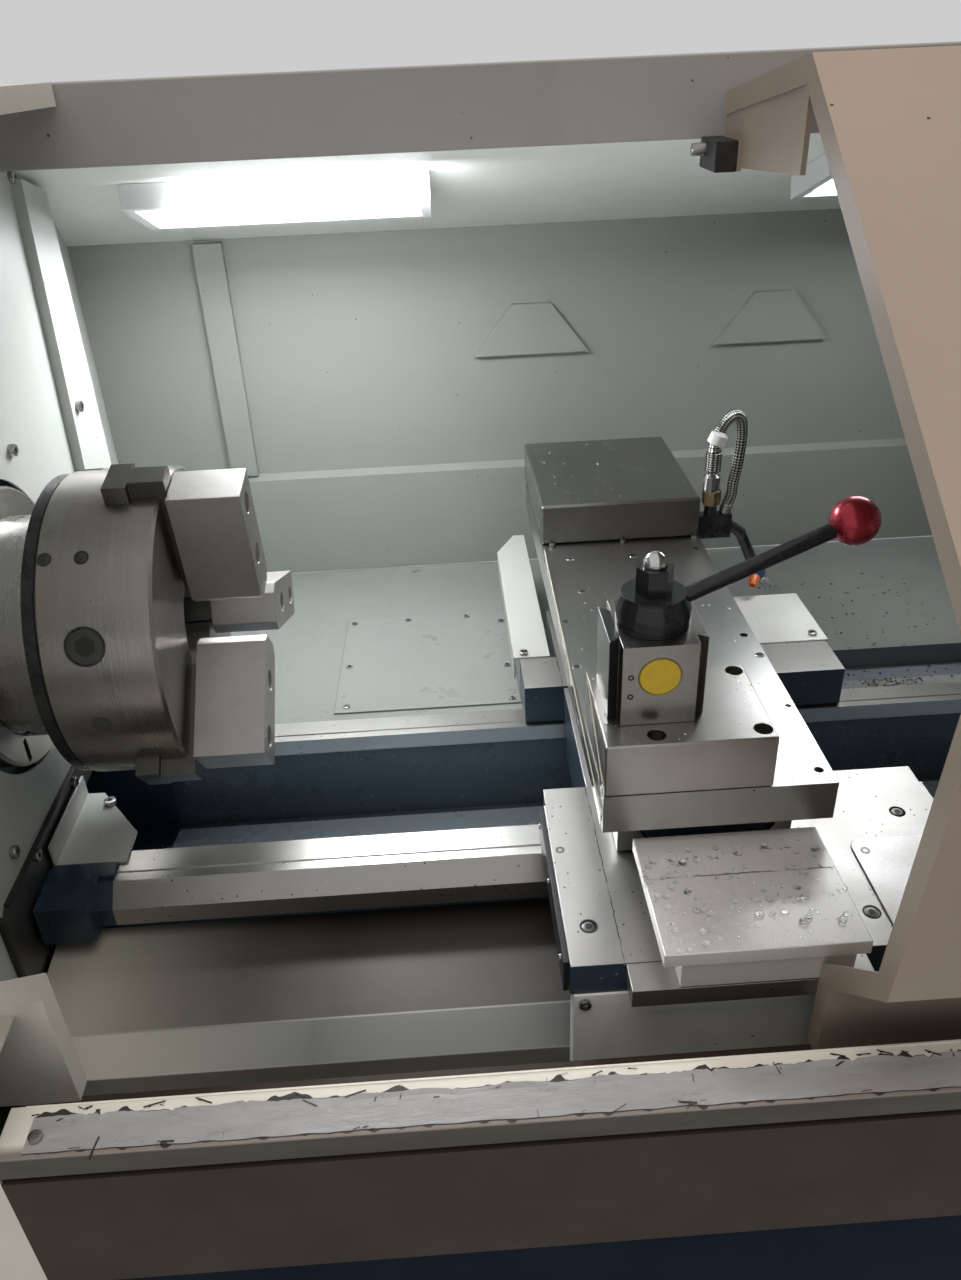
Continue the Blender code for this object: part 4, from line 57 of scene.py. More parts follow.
# Chuck and jaws
CHUCK_RADIUS = 0.1525
PINION_X = -0.061
PINION_RADIUS = 0.018
PINION_ANGLE = 20.4
PINION_FACE_RADIUS = 0.151
RIM_SCREW_X = (-0.0941, -0.0616)
RIM_SCREW_ANGLE = 50.5
RIM_SCREW_RADIUS = 0.0066
RIM_PLUG_X = -0.0615
RIM_PLUG_ANGLE = -8.9
RIM_PLUG_RADIUS = 0.0088
JAW_ANGLES = (80.4, 200.4, 320.4)
JAW_BOLTS = (0.074, 0.132)
JAW_FRONT_X = 0.075
JAW_BOLT_SUNK = 0.006
JAW_BOLT_RADIUS = 0.0098
JAW_BOLT_HEAD = 0.012

# Ways, saddle and slide
WAY_FACE_FOOT_Z = -0.2995
REAR_WAY_FOOT_Z = -0.2795
REAR_WAY_Y = 0.030
WAY_DROPS_END_X = 0.074
WAY_START_X = -0.1149
END_BLOCK_REAR_Y = -0.0829
BED_GAP_Y = (-0.100, 0.118)
WING_TOP_Z = -0.203
COVER_TOP_Z = -0.2008
SLIDE_TOP_Z = -0.0993
POST_X = 0.441
POST_Y = -0.133
POST_FACE_Y = -0.177
POST_DOVETAIL = 0.0343
STUD_BALL_Z = 0.0975
BADGE_X = 0.441
BADGE_Z = 0.0076
BADGE_RADIUS = 0.0192
KNOB = Vector((0.620, -0.116, 0.119))
KNOB_RADIUS = 0.022
BAR_END = Vector((0.475, -0.128, 0.0505))
HOSE_RADIUS = 0.0075
SLEEVE_RADIUS = 0.0112
SLEEVE_AXIS = (0.6225, 0.3450)
HOSE_POINTS = (
    (0.6240, 0.3450, -0.0477), (0.6240, 0.3450, -0.0420),
    (0.6215, 0.3450, 0.0000), (0.6220, 0.3450, 0.0180), (0.6250, 0.3470, 0.0340),
    (0.6310, 0.3480, 0.0470), (0.6390, 0.3500, 0.0570), (0.6480, 0.3520, 0.0610),
    (0.6560, 0.3540, 0.0570), (0.6600, 0.3550, 0.0440), (0.6610, 0.3550, 0.0270),
    (0.6595, 0.3540, 0.0060), (0.6570, 0.3520, -0.0140), (0.6535, 0.3500, -0.0320),
    (0.6520, 0.3480, -0.0480), (0.6475, 0.3465, -0.0600), (0.6445, 0.3450, -0.0680),
    (0.6445, 0.3450, -0.0737),
)

# Guard, rail, door runner, floor and lamps
RAIL_TOP_Z = -0.215
RUNNER_REAR_Y = 0.172
RUNNER_Z = 0.393
GUARD_FOLD_Y = -0.238
GUARD_LIP_Y = -0.2838
PLATE_MIDDLE = (0.221, 0.339)
PLATE_HALF = (0.125, 0.144)
NOSE_START_Y = -0.3085
GUTTER_X = 0.600
GUTTER_Y = (0.1985, 0.2895)
GUTTER_TOP_Z = -0.268
LAMP_X = (0.086, 0.914)
LAMP_Y = 0.430
LAMP_HALF = (0.168, 0.054)
SEAL_X = (-0.1849, -0.1795)
FILM_COLUMNS, FILM_ROWS = 620, 7
FILM_THICKNESS = 0.00015
SHRED_COUNT = 150

# Camera solved on the photograph
EYE = Vector((0.2618, -0.9032, 0.48935))
EYE_RIGHT = Vector((0.997843, -0.053332, -0.038273))
EYE_UP = Vector((0.060162, 0.509751, 0.858218))
EYE_FORWARD = Vector((0.02626, 0.85867, -0.51186))
FOCAL = 27.93
SENSOR = 36.0

# Colours
LAMP_WHITE = (0.94, 0.97, 1.0)
OIL_DIRT = (0.15, 0.12, 0.09)
NO_SPECKS = (0, 0, 0)


def place(x, y, z):
    """Point in the row frame from a place measured from the datum."""
    return DATUM + Vector((x, y, z))


def across(angle):
    """Direction square to the spindle, from the front towards the top, in degrees."""
    turn = math.radians(angle)
    return Vector((0, -math.cos(turn), math.sin(turn)))


def scaled(colour, factor):
    """Colour made darker or lighter."""
    return tuple(channel * factor for channel in colour)


# Materials

def plug(tree, socket, value):
    """Link a value to an input, or set the input to a number, a vector or a colour."""
    if isinstance(value, Value):
        tree.links.new(value.socket, socket)
    elif socket.type == "RGBA":
        socket.default_value = (*value, 1.0)
    else:
        socket.default_value = value


def add(tree, kind, values=None, **settings):
    """Add a shader node with its settings, and plug or set its inputs."""
    made = tree.nodes.new("ShaderNode" + kind)
    for key, value in settings.items():
        setattr(made, key, value)
    for key, value in (values or {}).items():
        plug(tree, made.inputs[key], value)
    return made


def get(tree, kind, values=None, output=0, **settings):
    """Value given by a new shader node."""
    return Value(tree, add(tree, kind, values, **settings).outputs[output])


class Value:
    """Number, vector or colour in a shader tree, with the sums that make others from it."""

    def __init__(self, tree, socket):
        self.tree = tree
        self.socket = socket

    def maths(self, operation, other=0.0):
        """One sum on this value and another."""
        return get(self.tree, "Math", {0: self, 1: other}, operation=operation)

    def ramp(self, low, high, to_low=0.0, to_high=1.0):
        """This value taken from one range to another, and kept inside it."""
        return get(self.tree, "MapRange", {"Value": self, "From Min": low, "From Max": high,
                                           "To Min": to_low, "To Max": to_high})

    def __add__(self, other):
        return self.maths("ADD", other)

    def __sub__(self, other):
        return self.maths("SUBTRACT", other)

    def __rsub__(self, other):
        return get(self.tree, "Math", {0: other, 1: self}, operation="SUBTRACT")

    def __mul__(self, other):
        return self.maths("MULTIPLY", other)

    def __truediv__(self, other):
        return self.maths("DIVIDE", other)

    def __pow__(self, other):
        return self.maths("POWER", other)

    def __gt__(self, other):
        return self.maths("GREATER_THAN", other)

    def __lt__(self, other):
        return self.maths("LESS_THAN", other)

    def __abs__(self):
        return self.maths("ABSOLUTE")


class Look:
    """Material in the making, with its place measured from the datum as x, y and z."""

    def __init__(self, name, roughness, metallic=0.0):
        self.material = bpy.data.materials.new(name)
        self.material.use_nodes = True
        self.tree = self.material.node_tree
        self.shader = self.tree.nodes["Principled BSDF"]
        self.give({"Roughness": roughness, "Metallic": metallic})
        self.place = self.get("Mapping", {"Vector": self.get("TexCoord", output="Object"),
                                          "Location": -DATUM})
        self.x, self.y, self.z = self.split(self.place)

    def give(self, inputs):
        """Plug or set inputs of the shader."""
        for key, value in inputs.items():
            plug(self.tree, self.shader.inputs[key], value)

    def get(self, kind, values=None, output=0, **settings):
        """Value given by a new node of this material."""
        return get(self.tree, kind, values, output, **settings)

    def split(self, vector):
        """The three parts of a vector."""
        parts = add(self.tree, "SeparateXYZ", {"Vector": vector})
        return [Value(self.tree, socket) for socket in parts.outputs]

    def stretched(self, scale):
        """Place from the datum, stretched by one scale or by one for each axis."""
        scale = scale if isinstance(scale, tuple) else (scale, scale, scale)
        return self.get("Mapping", {"Vector": self.place, "Scale": scale})

    def noise(self, scale, detail=3.0, roughness=0.55, distortion=0.0):
        """Noise at a scale, or on a vector of its own."""
        vector = scale if isinstance(scale, Value) else self.stretched(scale)
        return self.get("TexNoise", {"Vector": vector, "Scale": 1.0, "Detail": detail,
                                     "Roughness": roughness, "Distortion": distortion})

    def mix(self, factor, first, second):
        """Colour between two others."""
        return self.get("Mix", {0: factor, 6: first, 7: second}, 2, data_type="RGBA")

    def blend(self, factor, first, second):
        """Number between two others."""
        return self.get("Mix", {0: factor, 2: first, 3: second})

    def specks(self, cells, share, size):
        """Mask of small round specks: cells to the metre, share of cells, size in cells."""
        cell = add(self.tree, "TexVoronoi", {"Vector": self.stretched(cells), "Scale": 1.0,
                                             "Randomness": 1.0})
        colour, distance = (Value(self.tree, cell.outputs[name]) for name in ("Color", "Distance"))
        chosen = self.get("SeparateColor", {"Color": colour}) < share
        return chosen * distance.ramp(size * 0.7, size, 1.0, 0.0)

    def dirt_line(self, value, middle, half):
        """Mask of a thin uneven line of dirt across a face, at a place on an axis."""
        wander = self.noise(90, 5.0, 0.7).ramp(0.3, 0.7, -half, half)
        off = abs(value + wander - middle)
        return off.ramp(half * 0.5, half, 1.0, 0.0) * self.noise(55, 3.0).ramp(0.40, 0.55, 0.2, 0.85)

    def finish(self, base, rough, height=None, strength=0.0, distance=0.0):
        """Plug the colour, the roughness and the bump, and hand over the material."""
        self.give({"Base Color": base, "Roughness": rough})
        if height is not None:
            bump = {"Height": height, "Strength": strength, "Distance": distance}
            self.give({"Normal": self.get("Bump", bump)})
        return self.material


def paint_parts(look, colour, shade, roughness, speck, speck_colour, dirt, dirt_colour):
    """Colour, roughness and skin of a powder coat."""
    base = look.mix(look.noise(3.0, 4.0, 0.6).ramp(0.35, 0.65), colour, shade)
    if dirt:
        smear = look.noise((9.0, 9.0, 4.0), 6.0, 0.7, 0.4)
        base = look.mix(smear.ramp(0.50, 0.80, 0.0, dirt), base, dirt_colour)
    if speck[1]:
        base = look.mix(look.specks(*speck), base, speck_colour)
    rough = look.noise(14, 5.0, 0.65).ramp(0.3, 0.7, roughness - 0.07, roughness + 0.10)
    return base, rough, look.noise(420, 2.0)


def painted(name, colour, shade=0.9, roughness=0.42, speck=NO_SPECKS,
            speck_colour=(0.04, 0.04, 0.035), dirt=0.0, dirt_colour=OIL_DIRT, gloss=0.5):
    """Powder coat with soft patches, an orange-peel skin, specks of swarf and smears of dirt."""
    look = Look(name, roughness)
    look.give({"Specular IOR Level": gloss})
    base, rough, skin = paint_parts(look, colour, scaled(colour, shade), roughness, speck,
                                    speck_colour, dirt, dirt_colour)
    return look.finish(base, rough, skin, 0.12, 0.0006)


def steel_parts(look, colour, grain, roughness, warm, stain, speck, even=0.0):
    """Colour, roughness and marks of ground or brushed steel; even evens out its marks."""
    uneven = 1 - even
    marks = look.noise(grain, 4.0, 0.65)
    broad = look.noise(scaled(grain, 0.12), 3.0, 0.6)
    cloud = look.noise(11, 5.0, 0.65, 0.3)
    base = look.mix(marks.ramp(0.30, 0.70, even, 1.0), scaled(colour, 0.76), colour)
    base = look.mix(broad.ramp(0.35, 0.70, 0.30 * uneven, 0.0), base, scaled(colour, 0.8))
    base = look.mix(cloud.ramp(0.42, 0.75, 0.0, warm), base, stain)
    if speck[1]:
        base = look.mix(look.specks(*speck), base, (0.05, 0.045, 0.04))
    swing = 0.01 + 0.04 * uneven
    rough = marks.ramp(0.3, 0.7, roughness - swing, roughness + swing)
    return base, rough + cloud.ramp(0.35, 0.75, -0.01, 0.02 + 0.08 * uneven), marks


def brushed(name, colour, grain, roughness=0.30, warm=0.3, stain=(0.26, 0.19, 0.13), depth=0.16,
            speck=NO_SPECKS, even=0.0, metallic=1.0, seam=None):
    """Ground or brushed steel: grain gives how fast the marks change along x, y and z."""
    look = Look(name, roughness, metallic)
    base, rough, marks = steel_parts(look, colour, grain, roughness, warm, stain, speck, even)
    if seam:
        base = look.mix(look.dirt_line(look.y, *seam), base, (0.07, 0.062, 0.055))
    return look.finish(base, rough, marks, depth, 0.0004)


def guard_finish():
    """Screw guard with oily stains: painted shade on the slope, painted light on its left end, band, fold and
    lip.
    """
    look = Look("guard_steel", 0.36, 1.0)
    base, rough, marks = steel_parts(look, (0.27, 0.255, 0.235), (10, 300, 300), 0.40, 0.50,
                                     (0.18, 0.135, 0.10), NO_SPECKS, 0.55)
    x, y = look.x, look.y
    # Painted light: the left end made paler, where the left cover shades it.
    base = look.mix(x.ramp(-0.14, 0.02, 1.0, 0.0), base, (0.50, 0.48, 0.42))
    # Painted shade: the slope darkened towards the way, and hardly at all on the left.
    shade = y.ramp(-0.225, -0.140, 0.78, 0.97) * x.ramp(-0.12, 0.12, 0.10, 1.0)
    base = look.mix(shade, base, (0.045, 0.041, 0.037))
    # Painted light on the band past the fold, pale on the left where the cover shades it.
    band = look.mix(x.ramp(-0.10, 0.10), (0.62, 0.60, 0.53), (0.16, 0.16, 0.15))
    base = look.mix(y.ramp(-0.240, -0.238, 1.0, 0.0), base, band)
    # Painted highlight along the fold.
    fold = abs(y - GUARD_FOLD_Y).ramp(0.0005, 0.0015, 0.6, 0.0)
    base = look.mix(fold, base, (0.45, 0.43, 0.39))
    # Painted light on the lip, which lies in shade.
    lip = y.ramp(GUARD_LIP_Y - 0.001, GUARD_LIP_Y + 0.001, 1.0, 0.0)
    base = look.mix(lip, base, (0.66, 0.63, 0.57))
    look.give({"Metallic": x.ramp(-0.14, 0.05, 0.05, 0.7)})
    return look.finish(base, rough, marks, 0.08, 0.0003)


def floor_finish():
    """Rear floor: speckled paint, painted shade in the gutter, and the dark line round the service plate."""
    look = Look("floor_paint", 0.36)
    base, rough, skin = paint_parts(look, (0.205, 0.214, 0.199), (0.188, 0.196, 0.182), 0.34,
                                    (230, 0.10, 0.24), (0.04, 0.04, 0.035), 0.25, OIL_DIRT)
    x, y = look.x, look.y
    # Painted shade: the gutter's hollow made dark.
    gutter = (x > GUTTER_X) * (y < GUTTER_Y[1]) * (y > GUTTER_Y[0]) * (look.z < GUTTER_TOP_Z)
    base = look.mix(gutter, base, (0.14, 0.15, 0.17))
    beside, behind = (abs(value - middle) - half for value, middle, half
                      in zip((x, y), PLATE_MIDDLE, PLATE_HALF))
    edge = abs(beside.maths("MAXIMUM", behind)).ramp(0.0007, 0.0018, 0.85, 0.0)
    base = look.mix(edge, base, (0.06, 0.06, 0.055))
    return look.finish(base, rough, skin, 0.12, 0.0006)


def lamp_glow():
    """Lit diffuser, brightest in a long oval round its middle."""
    look = Look("lamp_glow", 0.5)
    depth = abs((look.y - LAMP_Y) / LAMP_HALF[1]) ** 2.6
    left, right = (abs((look.x - middle) / LAMP_HALF[0]) ** 2.6 + depth for middle in LAMP_X)
    lit = left.maths("MINIMUM", right).ramp(0.85, 1.25, 1.0, 0.08)
    look.give({"Emission Color": (0.90, 0.95, 1.0),
               "Emission Strength": lit * look.x.ramp(0.4, 0.6, 26.0, 12.0)})
    return look.finish((0.90, 0.93, 0.96), 0.5)


def bed_shade(look, paint):
    """Bed paint: painted light between the two ways, where the bed lies in deep shade, and darker on the end
    block.
    """
    # Painted light: paler paint in the shaded gap between the ways.
    between = (look.y > BED_GAP_Y[0]) * (look.y < BED_GAP_Y[1])
    paint = look.mix(between, paint, (0.26, 0.32, 0.38))
    return look.mix(look.x < WAY_START_X + HAIR, paint, (0.018, 0.034, 0.050))


def steel_where(name, mask_of, steel, paint, roughness, joint=None, shade=None):
    """Casting that is ground to bare steel inside a mask, and painted elsewhere."""
    look = Look(name, roughness[1])
    mask = mask_of(look)
    bright, bright_rough, marks = steel_parts(look, steel, (50, 1500, 1500), roughness[0], 0.25,
                                              (0.34, 0.27, 0.19), (190, 0.08, 0.22), 0.6)
    dull, dull_rough, skin = paint_parts(look, paint, scaled(paint, 0.75), roughness[1],
                                         (150, 0.06, 0.22), (0.20, 0.21, 0.21), 0.0, paint)
    if shade:
        dull = shade(look, dull)
    if joint:
        bright = look.mix(look.dirt_line(look.x, *joint), bright, (0.035, 0.032, 0.030))
    look.give({"Metallic": mask})
    return look.finish(look.mix(mask, dull, bright), look.blend(mask, dull_rough, bright_rough),
                       look.blend(mask, skin, marks), 0.15, 0.0004)


def way_mask(look):
    """Ground faces of the bed's two ways."""
    foot = (look.y > REAR_WAY_Y) * (REAR_WAY_FOOT_Z - WAY_FACE_FOOT_Z) + WAY_FACE_FOOT_Z
    free = (look.x > WAY_START_X).maths("MAXIMUM", look.y > END_BLOCK_REAR_Y)
    return (look.z > foot) * free


def top_mask(look):
    """Faces that look up, on the saddle's wings and bridge, and the front of its nose."""
    normal = look.split(look.get("NewGeometry", output="Normal"))
    return (normal[2] > HALF).maths("MAXIMUM", look.y < NOSE_START_Y)


def turned_steel(name, colour, roughness=0.30, warm=0.35, stain=(0.30, 0.21, 0.14)):
    """Turned steel: fine rings round the spindle axis, with stains that follow them."""
    look = Look(name, roughness, 1.0)
    x, y, z = look.x, look.y, look.z
    radius = (y * y + z * z).maths("SQRT")
    ring = look.get("CombineXYZ", {"X": x * 900.0, "Y": radius * 900.0, "Z": z.maths("ARCTAN2", y) * 1.6})
    broad_ring = look.get("VectorMath", {0: ring, 1: (0.07, 0.07, 1.0)}, operation="MULTIPLY")
    marks = look.noise(ring, 3.0, 0.6)
    cloud = look.noise(13, 6.0, 0.68, 0.5)
    base = look.mix(marks.ramp(0.3, 0.7), scaled(colour, 0.80), colour)
    broad = look.noise(broad_ring, 3.0, 0.6).ramp(0.3, 0.7, 0.40, 0.0)
    base = look.mix(broad, base, scaled(colour, 0.75))
    base = look.mix(cloud.ramp(0.42, 0.72, 0.0, warm), base, stain)
    rough = marks.ramp(0.3, 0.7, roughness - 0.02, roughness + 0.02)
    radial = look.get("CombineXYZ", {"X": 0.1, "Y": y, "Z": z})
    look.give({"Anisotropic": 0.75,
               "Tangent": look.get("VectorMath", {0: radial}, operation="NORMALIZE")})
    return look.finish(base, rough + cloud.ramp(0.4, 0.75, -0.02, 0.12), marks, 0.02, 0.0002)


def blackened(name, colour=(0.016, 0.016, 0.018), roughness=0.26, rub=(0.07, 0.066, 0.06)):
    """Blackened steel with rubbed patches and fine tool marks."""
    look = Look(name, roughness)
    rubbed = look.noise(45, 5.0, 0.65)
    return look.finish(look.mix(rubbed.ramp(0.5, 0.8, 0.0, 0.6), colour, rub),
                       rubbed.ramp(0.3, 0.7, roughness - 0.06, roughness + 0.12),
                       look.noise((300, 300, 900), 2.0), 0.10, 0.0004)


def post_finish():
    """Tool post: ground faces, and the dovetail on the left made near black as painted shade."""
    look = Look("post_steel", 0.3)
    # Painted shade: the left dovetail, which lies in shade, made near black and less metallic.
    black = (abs(look.x - POST_X) > POST_DOVETAIL) * (look.x < POST_X)
    base, rough, marks = steel_parts(look, (0.37, 0.36, 0.345), (1500, 1500, 66), 0.28, 0.25,
                                     (0.30, 0.22, 0.15), NO_SPECKS, 0.85)
    look.give({"Metallic": 1.0 - black})
    return look.finish(look.mix(black, base, (0.020, 0.020, 0.022)), look.blend(black, rough, 0.22),
                       marks, 0.04, 0.0004)


def clear(name, colour, roughness=0.03, ior=1.45):
    """Clear glass or liquid."""
    look = Look(name, roughness)
    look.give({"Transmission Weight": 1.0, "IOR": ior})
    return look.finish(colour, look.noise(60).ramp(0.3, 0.7, roughness, roughness + 0.05))


def glossy(name, colour, metallic, roughness, coat=0.0):
    """Smooth lacquered, moulded or plated finish with faint rub marks."""
    look = Look(name, roughness, metallic)
    rub = look.noise(90, 4.0)
    look.give({"Coat Weight": coat, "Coat Roughness": 0.12})
    return look.finish(look.mix(rub.ramp(0.3, 0.75, 0.0, 0.35), colour, scaled(colour, 0.6)),
                       rub.ramp(0.3, 0.7, roughness, roughness + 0.08))


def rail_finish():
    """Front rail: a top made pale as painted light, darker at its front edge, and a front made dark brown as
    painted shade.
    """
    look = Look("rail_steel", 0.36)
    # Painted light and shade: pale where the top catches the light, dark brown on the shaded front, mottled.
    up = look.z.ramp(RAIL_TOP_Z - 0.0016, RAIL_TOP_Z - 0.0002)
    smear = look.noise((5, 40, 40), 5.0, 0.7)
    front = look.mix(smear.ramp(0.35, 0.7), (0.070, 0.058, 0.048), (0.045, 0.036, 0.028))
    # Painted shade: the strip at the top's front edge darker.
    top = look.mix(look.y.ramp(-0.438, -0.430), (0.24, 0.215, 0.19), (0.78, 0.75, 0.68))
    return look.finish(look.mix(up, front, top), smear.ramp(0.3, 0.7, 0.28, 0.44),
                       look.noise((20, 500, 500), 3.0), 0.08, 0.0003)


def film_finish():
    """Milky protective film with creases."""
    look = Look("protective_film", 0.32)
    crease = look.noise((26, 90, 90), 6.0, 0.7, 0.6)
    base = look.mix(crease.ramp(0.35, 0.7), (0.33, 0.325, 0.33), (0.39, 0.385, 0.39))
    cloud = look.noise((5, 20, 20), 4.0, 0.6).ramp(0.42, 0.7, 0.0, 0.4)
    look.give({"Coat Weight": 0.4, "Coat Roughness": 0.15})
    return look.finish(look.mix(cloud, base, (0.22, 0.20, 0.19)), crease.ramp(0.3, 0.7, 0.24, 0.42),
                       crease, 0.5, 0.0015)


def braided_steel(name, on_sleeve):
    """Braid of bright wires wound both ways along the hose, or along its upright sleeve."""
    look = Look(name, 0.28, 1.0)
    if on_sleeve:
        turn = (look.y - SLEEVE_AXIS[1]).maths("ARCTAN2", look.x - SLEEVE_AXIS[0])
        wound, along = turn * 6.0, look.z * 950.0
    else:
        parts = look.split(look.get("TexCoord", output="UV"))
        wound, along = parts[1] * (5.0 * math.tau), parts[0] * 270.0
    weave = (along + wound).maths("SINE") * (along - wound).maths("SINE")
    base = look.mix(weave.ramp(-0.3, 0.6), (0.045, 0.043, 0.040), (0.66, 0.65, 0.63))
    return look.finish(base, 0.28, weave, 0.7, 0.0008)


def badge_finish():
    """Plain yellow disc with a darker rim."""
    look = Look("yellow_disc", 0.35)
    x, z = look.x - BADGE_X, look.z - BADGE_Z
    radius = (x * x + z * z).maths("SQRT")
    scuff = look.noise(120, 5.0, 0.7)
    base = look.mix(scuff.ramp(0.45, 0.75, 0.0, 0.5), (0.72, 0.50, 0.03), (0.45, 0.30, 0.02))
    rim = (radius > BADGE_RADIUS * 0.93) * 0.8
    return look.finish(look.mix(rim, base, (0.16, 0.13, 0.02)), scuff.ramp(0.3, 0.7, 0.28, 0.42))


CHROME = glossy("bright_chrome", (0.70, 0.70, 0.70), 1.0, 0.10)
SCREW_STEEL = glossy("screw_steel", (0.42, 0.41, 0.40), 1.0, 0.24)
DARK_SCREW = glossy("dark_screw", (0.060, 0.060, 0.062), 0.9, 0.34)
PLUG_STEEL = brushed("plug_steel", (0.26, 0.265, 0.225), (700, 700, 700), 0.36, 0.6, (0.10, 0.10, 0.085))
COLLAR_STEEL = brushed("collar_steel", (0.20, 0.195, 0.185), (300, 300, 300), 0.32, 0.3)
DARK_COLLAR = brushed("dark_collar", (0.125, 0.122, 0.118), (900, 900, 900), 0.34, 0.3,
                      (0.05, 0.045, 0.04))
PALE_STEEL = brushed("pale_steel", (0.60, 0.58, 0.56), (300, 300, 300), 0.38, 0.2)
BRASS = glossy("brass_nut", (0.40, 0.31, 0.16), 1.0, 0.24)
CLEAR_PLASTIC = clear("clear_plastic", (0.86, 0.88, 0.88), 0.08)
WATER = clear("coolant_drops", (0.96, 0.97, 0.97), 0.0, 1.33)
CHIP_STEEL = glossy("chip_steel", (0.10, 0.092, 0.085), 0.8, 0.35)
# Black rubber, and the black used as painted shade in counterbores, sockets and holes.
BLACK_RUBBER_AND_SHADE = blackened("black_rubber_and_shade", (0.014, 0.014, 0.014), 0.5)
FILM = film_finish()
FILM_SHRED = painted("film_shred", (0.055, 0.050, 0.045), 0.6, 0.30)
# Painted highlight: bright cream for the lit back edge of the rail.
RAIL_EDGE_HIGHLIGHT = painted("rail_edge", (0.84, 0.81, 0.74), 0.9, 0.34)
BRAID = braided_steel("braided_steel", False)
SLEEVE_BRAID = braided_steel("sleeve_braid", True)
WHITE_BAND = glossy("white_band", (0.72, 0.72, 0.70), 0.0, 0.35)
BADGE = badge_finish()
RED_KNOB = glossy("red_knob", (0.42, 0.030, 0.050), 0.80, 0.24, 0.35)
ORANGE = glossy("orange_nozzle", (0.75, 0.16, 0.02), 0.0, 0.35)
BLUE = glossy("blue_joint", (0.02, 0.07, 0.20), 0.0, 0.30)
CREAM_STRIP = glossy("cream_strip", (0.60, 0.56, 0.43), 0.0, 0.30)

